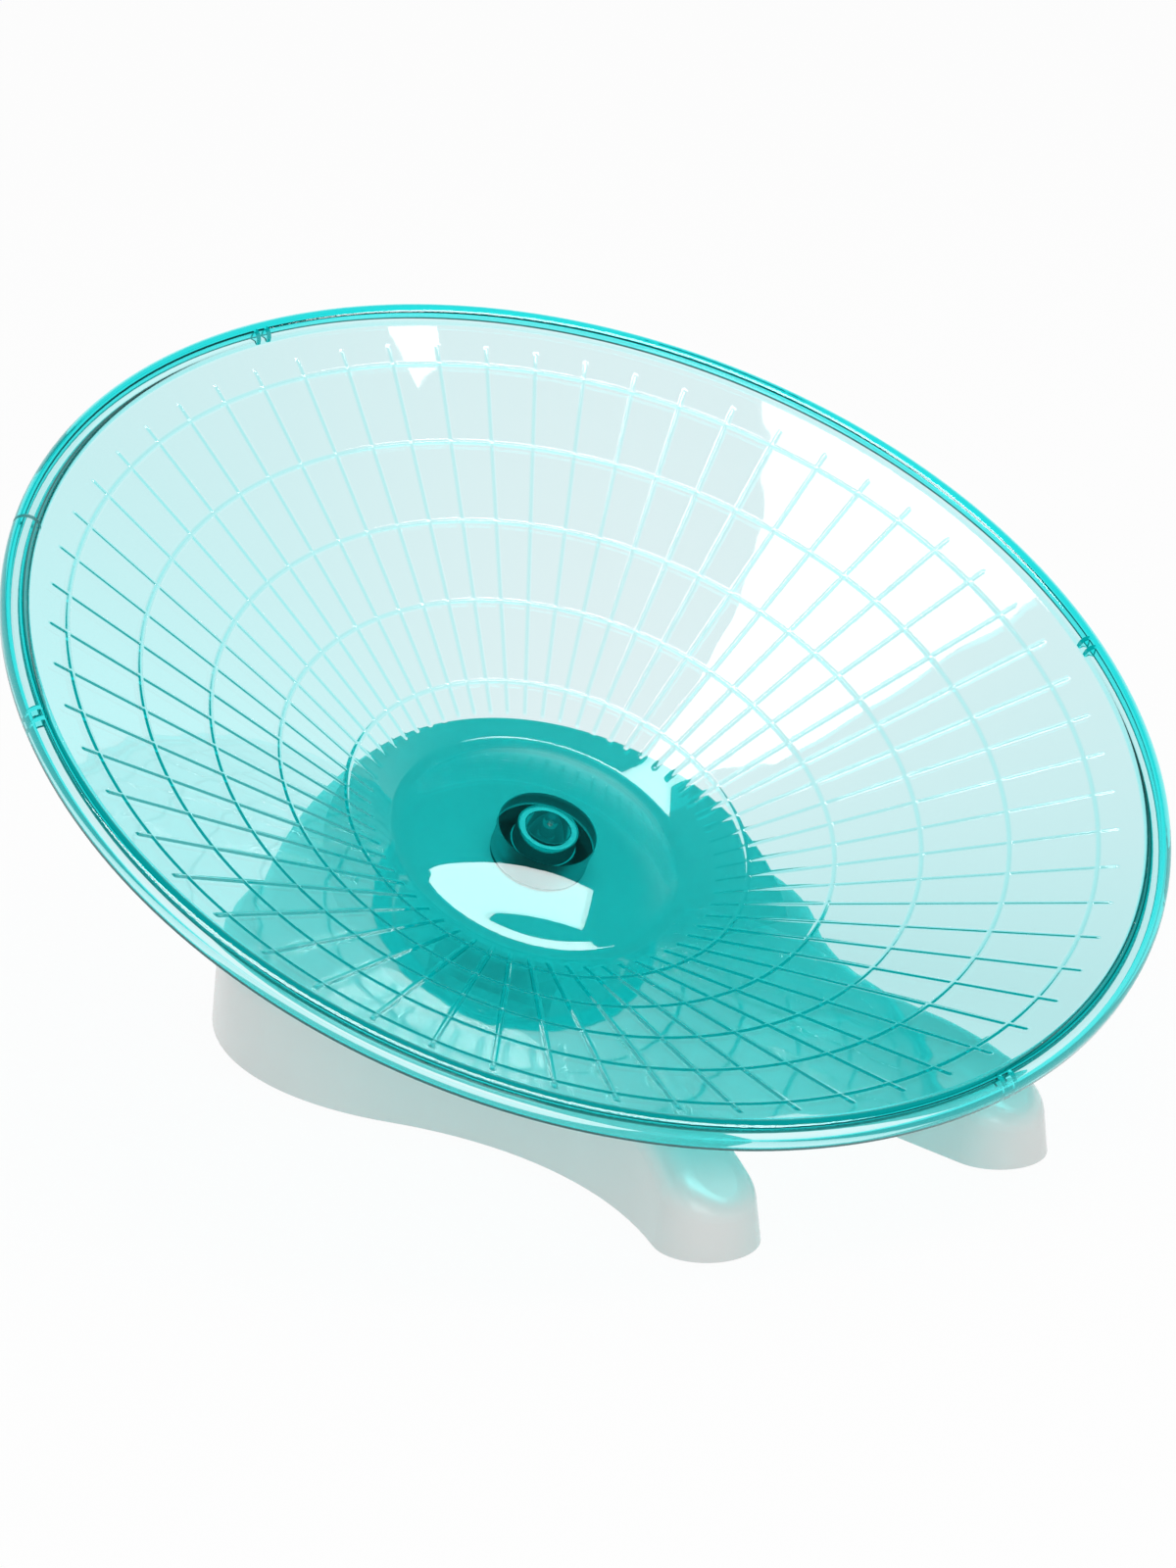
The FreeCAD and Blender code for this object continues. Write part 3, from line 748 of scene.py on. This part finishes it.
    def lower_rows(self) -> list[Row]:
        """Rings of the lower face, from the rim's skirt in to the end of the screw hole.

        Returns:
            The rings, from the rim inwards.
        """
        rim, lip, bead = self.rim_radius, self.lip, self.bead_radius
        soft, bulge = self.skirt_round, self.skirt_bulge
        middle = rim - bead
        level = self.wall_level(middle - bead)
        edge = level - self.skirt
        rows = [Row(rim, edge + soft), Row(rim - bulge, edge + bulge), Row(rim - soft, edge)]
        rows += [Row(rim - lip + self.lip_round, edge), Row(rim - lip, edge + self.lip_rise, channel=True)]
        inner = bead - lip
        for step in range(self.channel_steps + 1):
            angle = math.radians(180.0 * step / self.channel_steps)
            rows.append(Row(middle + inner * math.cos(angle), level + inner * math.sin(angle), channel=True))
        foot = middle - inner
        inside = foot - self.channel_round
        rows.append(Row(foot, self.under_level(foot) + self.channel_round, channel=True))
        rows.append(Row(inside, self.under_level(inside)))
        for radius in reversed(self.ring_middles()):
            rows.append(Row(radius, self.under_level(radius)))
        rows += [Row(*point) for point in self.floor_under()]
        for point in self.axle_rows():
            # The boss's side is frosted and darkened, and the darkening is painted shade.
            rows.append(Row(*point, frost_and_painted_shade=self.side_frost_and_shade if point[0] == self.boss_radius else 0.0))
        return self.with_supports(rows)

    def ring_middles(self) -> list[float]:
        """Radii of the raised rings, from the innermost outwards."""
        return [self.ring_radius + self.ring_step * number for number in range(self.ring_count)]

    def floor_under(self) -> list[Point]:
        """Points of the floor's lower face, from the wall in to the boss.

        Returns:
            Pairs of radius and level.
        """
        slope = math.radians(self.slope)
        drop = self.wall / math.cos(slope) - self.wall
        out = self.wall_foot + drop / math.tan(slope)
        level = self.valley_level - self.wall
        sphere = self.sphere() - self.wall
        start = self.boss_radius + self.boss_gap
        dome = self.dome_rows(sphere, self.groove_level, start, self.under_dome_steps)
        up = (out + AHEAD, self.under_level(out + AHEAD))
        valley = (dome[-1][0] + self.under_valley_width, level)
        wall_round, valley_round, dome_round = self.under_rounds
        points = round_corner(up, (out, level), valley, wall_round, steps=4)
        points += round_corner((out, level), valley, dome[-1], valley_round, steps=3)
        points += round_corner(valley, dome[-1], dome[-3], dome_round, steps=3)
        points += list(reversed(dome))[1:]
        return points

    def axle_rows(self) -> list[Point]:
        """Points of the boss, its groove, the post and the screw hole, from outside in.

        Returns:
            Pairs of radius and level.
        """
        sphere = self.sphere() - self.wall
        top = self.groove_level - sphere + math.sqrt(sphere ** 2 - self.boss_radius ** 2)
        boss, bore, post, hole = self.boss_radius, self.boss_bore, self.post_radius, self.screw_hole
        low, high = self.boss_level, self.groove_level
        fine, edge, broad = self.axle_edges
        return [
            (boss + fine, top - fine / 2),
            (boss, top - broad),
            (boss, low + edge),
            (boss - edge, low),
            (bore + edge, low),
            (bore, low + edge),
            (bore, high - broad),
            (bore - broad, high),
            (post + broad, high),
            (post, high - broad),
            (post, broad),
            (post - broad, 0.0),
            (hole + fine, 0.0),
            (hole, fine),
            (hole, self.screw_depth - self.drill_shoulder),
            (0.0, self.screw_depth + self.drill_tip),
        ]

    def upper_angles(self, radius: float) -> list[float]:
        """Directions of the upper face's points at a radius, gathered at the ribs.

        Args:
            radius: the ring's radius in millimetres.

        Returns:
            Angles in radians, increasing once round.
        """
        sector = FULL_TURN / self.rib_count
        reach = max(radius, self.rib_inner)
        offsets = [share * self.rib_half_width / reach for share in RIB_ACROSS]
        offsets += [sector * share for share in BETWEEN_RIBS]
        return [sector * number + offset for number in range(self.rib_count) for offset in offsets]

    def lower_angles(self) -> list[float]:
        """Directions of the lower face's points, with extra ones at the rim's webs.

        Returns:
            Angles in radians, increasing once round.
        """
        angles = [FULL_TURN * number / self.lower_columns for number in range(self.lower_columns)]
        middle = self.rim_radius - self.bead_radius
        half = self.web_width / 2
        beside = half + self.web_edge
        extra = []
        for web in self.web_middles():
            extra += [(web + edge / middle) % FULL_TURN for edge in (-beside, -half, half, beside)]
        kept = [angle for angle in angles if all(abs(angle - other) > self.least_gap for other in extra)]
        return sorted(kept + extra)

    def web_middles(self) -> list[float]:
        """Directions of the webs' middles in radians."""
        shift = self.web_spacing / 2 / (self.rim_radius - self.bead_radius)
        return [math.radians(angle) + side * shift for angle in self.web_angles for side in (-1, 1)]

    def in_web(self, angle: float) -> bool:
        """Tell whether a web fills the rim's channel.

        Args:
            angle: the direction in radians.

        Returns:
            True within the width of a web.
        """
        limit = self.web_width / 2 / (self.rim_radius - self.bead_radius) + SAME_ANGLE
        offsets = [(angle - web + math.pi) % FULL_TURN - math.pi for web in self.web_middles()]
        return any(abs(offset) <= limit for offset in offsets)

    def in_weld(self, angle: float) -> bool:
        """True on the flow line that crosses the rim."""
        return abs(math.degrees(angle) % 360.0 - self.weld_angle) < self.weld_half_width

    def base_mesh(self) -> Mesh:
        """Build the closed dish without ribs and rings, upright on the axis, in metres.

        Returns:
            The mesh, with attributes that mark the running face and the frosted places, which are darkened
            too, with painted shade on the boss's side.
        """
        mesh = bpy.data.meshes.new("running_dish_base")
        form = bmesh.new()
        form.verts.layers.float.new("wall_side")
        form.verts.layers.float.new("frost_and_painted_shade")
        upper = self.lay_rows(form, self.upper_rows(), self.upper_angles)
        columns = self.lower_angles()
        lower = self.lay_rows(form, self.lower_rows(), lambda radius: columns)
        self.stitch(form, upper[-1], lower[0])
        bmesh.ops.remove_doubles(form, verts=form.verts, dist=SAME_PLACE)
        bmesh.ops.recalc_face_normals(form, faces=form.faces)
        form.to_mesh(mesh)
        form.free()
        return mesh

    def lay_rows(
        self,
        form: bmesh.types.BMesh,
        rows: Sequence[Row],
        angles_at: Callable[[float], Sequence[float]],
    ) -> list[list[bmesh.types.BMVert]]:
        """Add rings of points and the faces between them.

        Args:
            form: the mesh in the making.
            rows: the rings in order.
            angles_at: gives a ring's directions from its radius.

        Returns:
            The points of each ring.
        """
        rim = self.rim_radius - self.lip
        edge = self.wall_level(self.rim_radius - 2 * self.bead_radius) - self.skirt
        foot = self.rim_radius - 2 * self.bead_radius + self.lip
        fall = (self.under_level(foot) - edge) / (rim - foot)
        side_layer = form.verts.layers.float["wall_side"]
        frost_and_shade_layer = form.verts.layers.float["frost_and_painted_shade"]
        rings = []
        for row in rows:
            ring = []
            if row.radius == 0.0:
                ring = [form.verts.new((0.0, 0.0, row.level * MM))]
            else:
                for angle in angles_at(row.radius):
                    level = row.level
                    if row.channel and self.in_web(angle):
                        level = edge + (rim - row.radius) * fall + self.lip_rise
                    place = (row.radius * math.cos(angle), row.radius * math.sin(angle), level)
                    point = form.verts.new(Vector(place) * MM)
                    point[side_layer] = row.side.value
                    point[frost_and_shade_layer] = 1.0 if row.bead and self.in_weld(angle) else row.frost_and_painted_shade
                    ring.append(point)
            rings.append(ring)
        for first, second in zip(rings, rings[1:]):
            self.join_rings(form, first, second)
        return rings

    @staticmethod
    def join_rings(form: bmesh.types.BMesh, first: list, second: list) -> None:
        """Add the faces between two rings of equal count, or a fan where one is a point.

        Args:
            form: the mesh in the making.
            first: the points of one ring.
            second: the points of the next.
        """
        if len(first) == 1 or len(second) == 1:
            tip, ring = (first[0], second) if len(first) == 1 else (second[0], first)
            for number, point in enumerate(ring):
                form.faces.new((tip, point, ring[(number + 1) % len(ring)]))
            return
        count = len(first)
        for number in range(count):
            after = (number + 1) % count
            form.faces.new((first[number], first[after], second[after], second[number]))

    @staticmethod
    def stitch(form: bmesh.types.BMesh, first: list, second: list) -> None:
        """Join two rings of different counts with triangles, going round by direction.

        Args:
            form: the mesh in the making.
            first: the points of one ring.
            second: the points of the other.
        """

        def turned(ring: list) -> list[tuple[float, Any]]:
            """Sort the points of a ring by direction.

            Args:
                ring: the points.

            Returns:
                Directions with their points, and the first one again at the end.
            """
            found = [(math.atan2(point.co.y, point.co.x) % FULL_TURN, point) for point in ring]
            found.sort(key=lambda pair: pair[0])
            return found + [(found[0][0] + FULL_TURN, found[0][1])]

        one, two = turned(first), turned(second)
        here = there = 0
        while here < len(one) - 1 or there < len(two) - 1:
            done = there == len(two) - 1
            if done or (here < len(one) - 1 and one[here + 1][0] <= two[there + 1][0]):
                form.faces.new((one[here][1], one[here + 1][1], two[there][1]))
                here += 1
            else:
                form.faces.new((one[here][1], two[there + 1][1], two[there][1]))
                there += 1

    def relief_tree(self) -> NodeTree:
        """Build the tree that raises the straight ribs and the rings on the running face.

        Returns:
            The node tree, with named inputs for its sizes.
        """
        kinds = {name: "Float" for name in self.relief_sizes()}
        tree, graph = new_tree("dish_relief", {**kinds, "Material": "Material"})
        given = graph.node("NodeGroupInput").outputs
        size = {name: graph.field(given[name]) for name in kinds}
        place = graph.node("ShaderNodeSeparateXYZ", {0: graph.node("GeometryNodeInputPosition")})
        x, y = graph.field(place.outputs[0]), graph.field(place.outputs[1])
        radius = graph.math("SQRT", x * x + y * y)
        turns = graph.math("ARCTAN2", y, x) / FULL_TURN * size["Rib Count"]
        apart = abs(turns - graph.math("ROUND", turns)) / size["Rib Count"] * FULL_TURN * radius
        crest = 1.0 - graph.math("MINIMUM", apart / size["Rib Half Width"], 1.0)
        inner = (radius - size["Rib Inner Radius"]) / size["Rib Ease"]
        outer = (size["Rib Outer Radius"] - radius) / size["Rib Ease"]
        length = graph.ease(graph.math("MINIMUM", inner, outer), 0.0, 1.0)
        rib = graph.ease(crest, 0.0, FLANK) * length * size["Rib Rise"]
        step = (radius - size["Ring Radius"]) / size["Ring Step"]
        nearest = graph.math("MAXIMUM", graph.math("ROUND", step), 0.0)
        nearest = graph.math("MINIMUM", nearest, size["Ring Count"] - 1.0)
        gap = abs(step - nearest) * size["Ring Step"]
        swell = 1.0 - graph.math("MINIMUM", gap / size["Ring Half Width"], 1.0)
        ring = graph.ease(swell, 0.0, FLANK) * size["Ring Rise"]
        side = graph.node("GeometryNodeInputNamedAttribute", {"Name": "wall_side"}, data_type="FLOAT")
        lift = graph.field(side.outputs[0]) * graph.math("MAXIMUM", rib, ring)
        slope = math.radians(self.slope)
        inward = lift * (-math.sin(slope)) / graph.math("MAXIMUM", radius, MM)
        offset = graph.node(
            "ShaderNodeCombineXYZ", {0: x * inward, 1: y * inward, 2: lift * math.cos(slope)}
        )
        moved = graph.node("GeometryNodeSetPosition", {"Geometry": given["Geometry"], "Offset": offset})
        graph.give(moved, given["Material"])
        return tree

    def relief_sizes(self) -> dict[str, float]:
        """Sizes of the ribs and rings.

        Returns:
            The sizes in metres and the counts, by the names of the tree's inputs.
        """
        run = math.cos(math.radians(self.slope))
        return {
            "Rib Count": float(self.rib_count),
            "Rib Half Width": self.rib_half_width * MM,
            "Rib Rise": self.rib_rise * MM,
            "Rib Inner Radius": self.rib_inner * MM,
            "Rib Outer Radius": self.rib_outer * MM,
            "Rib Ease": self.rib_ease * MM,
            "Ring Count": float(self.ring_count),
            "Ring Radius": self.ring_radius * MM,
            "Ring Step": self.ring_step * MM,
            "Ring Half Width": self.ring_half_width * run * MM,
            "Ring Rise": self.ring_rise * MM,
        }

    def build(self) -> Object:
        """Make the dish, raise its relief, give it its finish and set it on its axle.

        Returns:
            The finished piece.
        """
        piece = link_object("clear_dish", self.base_mesh())
        values = {**self.relief_sizes(), "Material": self.finish.material()}
        bake_tree(piece, self.relief_tree(), values)
        piece.data.transform(self.placement())
        piece.data.polygons.foreach_set("use_smooth", [True] * len(piece.data.polygons))
        piece.data.set_sharp_from_angle(angle=math.radians(self.sharp_angle))
        return piece

    def dress(self, piece: Object) -> None:
        """Let the piece ride on the dish body in place of the solid.

        Args:
            piece: the finished piece.
        """
        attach(piece, "dish")
        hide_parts("running_dish")


@dataclass
class FootPads:
    """Four square rubber pads in the stand's underside, sizes in millimetres."""

    side: float = 12.0
    thickness: float = 1.6
    edge: float = 0.35
    places: tuple[Point, ...] = ((-43.6, -102.85), (43.6, -102.85), (-50.0, 81.06), (50.0, 81.06))
    finish: SolidFinish = PAD_RUBBER

    def one_pad(self) -> Object:
        """Make one pad with eased edges, its middle over the origin.

        Returns:
            The pad.
        """
        form = bmesh.new()
        bmesh.ops.create_cube(form, size=1.0)
        shape = Matrix.Diagonal((self.side * MM, self.side * MM, self.thickness * MM, 1.0))
        lift = Matrix.Translation((0.0, 0.0, self.thickness / 2 * MM))
        bmesh.ops.transform(form, matrix=lift @ shape, verts=form.verts)
        bmesh.ops.bevel(
            form, geom=form.edges[:], offset=self.edge * MM, segments=3, profile=0.5, affect="EDGES"
        )
        mesh = bpy.data.meshes.new("foot_pad")
        form.to_mesh(mesh)
        form.free()
        return link_object("foot_pad_pattern", mesh)

    def pad_tree(self) -> NodeTree:
        """Build the tree that sets one pad on each point.

        Returns:
            The node tree, with named inputs for the pad and its material.
        """
        tree, graph = new_tree("pad_places", {"Pad": "Object", "Material": "Material"})
        given = graph.node("NodeGroupInput").outputs
        pad = graph.node("GeometryNodeObjectInfo", {"Object": given["Pad"]})
        points = graph.node("GeometryNodeMeshToPoints", {"Mesh": given["Geometry"]})
        spread = graph.node(
            "GeometryNodeInstanceOnPoints",
            {"Points": points, "Instance": pad.outputs["Geometry"]},
        )
        graph.give(spread, given["Material"])
        return tree

    def build(self) -> Object:
        """Make the four pads as one piece.

        Returns:
            The finished piece.
        """
        pattern = self.one_pad()
        mesh = bpy.data.meshes.new("foot_pads")
        mesh.from_pydata([(x * MM, y * MM, 0.0) for x, y in self.places], [], [])
        piece = link_object("foot_pads", mesh)
        bake_tree(piece, self.pad_tree(), {"Pad": pattern, "Material": self.finish.material()})
        bpy.data.objects.remove(pattern)
        return piece

    def dress(self, piece: Object) -> None:
        """Let the pads ride on the stand in place of their solids.

        Args:
            piece: the finished piece.
        """
        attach(piece, "stand")
        places = ("front_left", "front_right", "rear_left", "rear_right")
        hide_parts(*("foot_pad_" + place for place in places))


@dataclass
class FrameFinishes:
    """Finishes for the pieces whose solids already have their shape."""

    finishes: tuple[tuple[str, SolidFinish], ...] = (
        ("stand_shell", STAND_WHITE),
        ("axle_bush", BUSH_WHITE),
        ("thrust_washer", WASHER_PAINTED_SHADE),
        ("retaining_washer", ZINC_STEEL),
        ("axle_screw", ZINC_STEEL),
    )

    def dress(self, nodes: dict[str, Object]) -> None:
        """Give each solid its material.

        Args:
            nodes: the solids by name.
        """
        made: dict[str, Material] = {}
        for name, finish in self.finishes:
            if finish.name not in made:
                made[finish.name] = finish.material()
            for slot in nodes[name].material_slots:
                slot.material = made[finish.name]
            log.info("dressed %s with %s", name, finish.name)


def untouched(graph: Graph, depth: str) -> Field:
    """Tell rays that haven't met a kind of surface yet from those that have."""
    return 1.0 - graph.math("MINIMUM", graph.ray(depth), 1.0)


@dataclass(frozen=True)
class Softbox:
    """A large soft lamp that looks at a point."""

    name: str
    place: Triple
    target: Triple
    width: float
    height: float
    radiance: float
    role: LampRole = LampRole.LIGHT
    roll: float = 0.0

    def build(self) -> None:
        """Add the lamp to the scene."""
        lamp = bpy.data.lights.new(self.name, "AREA")
        lamp.shape = "RECTANGLE"
        lamp.size = self.width
        lamp.size_y = self.height
        lamp.energy = self.radiance * math.pi * self.width * self.height
        made = link_object(self.name, lamp)
        if self.role is LampRole.SHEEN:
            self.keep_to_gloss(lamp)
            made.visible_diffuse = False
        made.location = self.place
        aim = (Vector(self.target) - Vector(self.place)).to_track_quat("-Z", "Y")
        made.rotation_euler = (aim @ Quaternion((0.0, 0.0, 1.0), math.radians(self.roll))).to_euler()

    @staticmethod
    def keep_to_gloss(lamp: Light) -> None:
        """Switch a lamp off for light that a matt surface has scattered or that has crossed plastic.

        Args:
            lamp: the lamp.
        """
        lamp.use_nodes = True
        graph = Graph(lamp.node_tree)
        shown = untouched(graph, "Diffuse Depth") * untouched(graph, "Transmission Depth")
        glow = graph.node("ShaderNodeEmission", {"Strength": shown})
        graph.node("ShaderNodeOutputLight", {"Surface": glow})


@dataclass
class Studio:
    """White floor and surroundings, soft lamps and the camera, in metres.

    The floor glows by its share where it is seen, and by the bounce share where it lights the object.
    """

    floor_half: float = 9.0
    ambient: float = 0.62
    overhead: float = 0.03
    dark_from: float = 0.3
    dark_to: float = 0.65
    seen_through: Triple = (5.1, 1.03, 1.05)
    floor_share: float = 0.95
    bounce_share: float = 0.35
    paper: float = 0.8
    camera_place: Triple = (-0.48537, -0.68911, 0.35545)
    camera_aim: Triple = (0.54272, 0.77770, -0.31725)
    lens: float = 81.24
    sensor: float = 36.0
    # The sheen hangs a little below the light of the same size, because lamps in one plane hide each other.
    lamps: tuple[Softbox, ...] = (
        Softbox(
            "top_light",
            (0.215, -0.34, 1.32),
            (0.215, -0.34, 0.0),
            width=1.2,
            height=0.45,
            radiance=3.2,
            roll=-28.5,
        ),
        Softbox(
            "top_sheen",
            (0.215, -0.34, 1.25),
            (0.215, -0.34, 0.0),
            width=1.2,
            height=0.45,
            radiance=10.5,
            role=LampRole.SHEEN,
            roll=-28.5,
        ),
        Softbox("front_fill", (-0.7, -0.9, 0.6), (0.0, 0.0, 0.05), width=0.8, height=0.5, radiance=2.1),
    )

    def shown_rays(self, graph: Graph) -> tuple[Field, Field]:
        """Which rays show the surroundings instead of taking light from them.

        Args:
            graph: the graph of the floor or the world.

        Returns:
            1 for rays from the camera, in gloss or through the plastic, and 1 for the last kind alone.
        """
        direct = untouched(graph, "Diffuse Depth")
        through = graph.ray("Is Transmission Ray") * direct
        shown = graph.math("MAXIMUM", graph.ray("Is Camera Ray"), graph.ray("Is Glossy Ray") * direct)
        return graph.math("MAXIMUM", shown, through), through

    def white_or_seen_through(self, graph: Graph, through: Field) -> NodeSocket:
        """White, or the overexposed white that shows through the plastic."""
        return graph.mix(through, WHITE, (*self.seen_through, 1.0))

    def build_floor(self) -> None:
        """Lay the white floor, which keeps a soft shadow."""
        material, graph = new_material("studio_floor")
        shown, through = self.shown_rays(graph)
        colour = self.white_or_seen_through(graph, through)
        grey = (self.paper, self.paper, self.paper, 1.0)
        paper = graph.node("ShaderNodeBsdfDiffuse", {"Color": grey})
        glow = graph.node("ShaderNodeEmission", {"Color": colour, "Strength": 1.0})
        share = self.bounce_share + shown * (self.floor_share - self.bounce_share)
        surface = graph.node("ShaderNodeMixShader", {0: share, 1: paper, 2: glow})
        graph.node("ShaderNodeOutputMaterial", {"Surface": surface})
        half = self.floor_half
        mesh = bpy.data.meshes.new("studio_floor")
        corners = [(-half, -half, 0.0), (half, -half, 0.0), (half, half, 0.0), (-half, half, 0.0)]
        mesh.from_pydata(corners, [], [(0, 1, 2, 3)])
        mesh.materials.append(material)
        link_object("studio_floor", mesh)

    def build_world(self) -> None:
        """Set the surroundings: even light on the object, white to the camera, dark overhead in the gloss."""
        world = bpy.data.worlds.new("studio_world")
        world.use_nodes = True
        bpy.context.scene.world = world
        graph = Graph(world.node_tree)
        shown, through = self.shown_rays(graph)
        colour = self.white_or_seen_through(graph, through)
        way = graph.node("ShaderNodeTexCoord").outputs["Generated"]
        height = graph.field(graph.node("ShaderNodeSeparateXYZ", {0: way}).outputs[2])
        overhead = graph.ease(height, self.dark_from, self.dark_to) * (1.0 - self.overhead)
        shade = 1.0 - overhead * (1.0 - graph.ray("Is Camera Ray"))
        strength = self.ambient + shown * (shade - self.ambient)
        sky = graph.node("ShaderNodeBackground", {"Color": colour, "Strength": strength})
        graph.node("ShaderNodeOutputWorld", {"Surface": sky})

    def build_camera(self) -> None:
        """Set the camera at the photograph's place and angle."""
        data = bpy.data.cameras.new("photo_camera")
        data.lens = self.lens
        data.sensor_width = self.sensor
        data.sensor_fit = "AUTO"
        data.clip_start = 0.01
        camera = link_object("photo_camera", data)
        camera.location = self.camera_place
        camera.rotation_euler = Vector(self.camera_aim).to_track_quat("-Z", "Y").to_euler()
        bpy.context.scene.camera = camera

    def build(self) -> None:
        """Make the whole studio."""
        bpy.context.scene.view_settings.view_transform = "Standard"
        self.build_world()
        self.build_floor()
        for lamp in self.lamps:
            lamp.build()
        self.build_camera()


def remove_leftovers(kept: Iterable[Object]) -> None:
    """Remove what a new Blender file holds by itself.

    Args:
        kept: the objects of the loaded model.
    """
    names = {piece.name for piece in kept}
    for piece in list(bpy.data.objects):
        if piece.name not in names:
            bpy.data.objects.remove(piece)


def main() -> None:
    """Build the studio and each sub-assembly in order."""
    logging.basicConfig(level=logging.INFO, format="%(name)s: %(message)s")
    remove_leftovers([*frame["nodes"].values(), *frame["bodies"].values()])
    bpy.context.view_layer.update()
    Studio().build()
    for assembly in (RunningDish(), FootPads()):
        piece = assembly.build()
        assembly.dress(piece)
        log.info("built %s with %d faces", piece.name, len(piece.data.polygons))
    FrameFinishes().dress(frame["nodes"])
    bpy.context.view_layer.update()


if __name__ == "__main__":
    main()
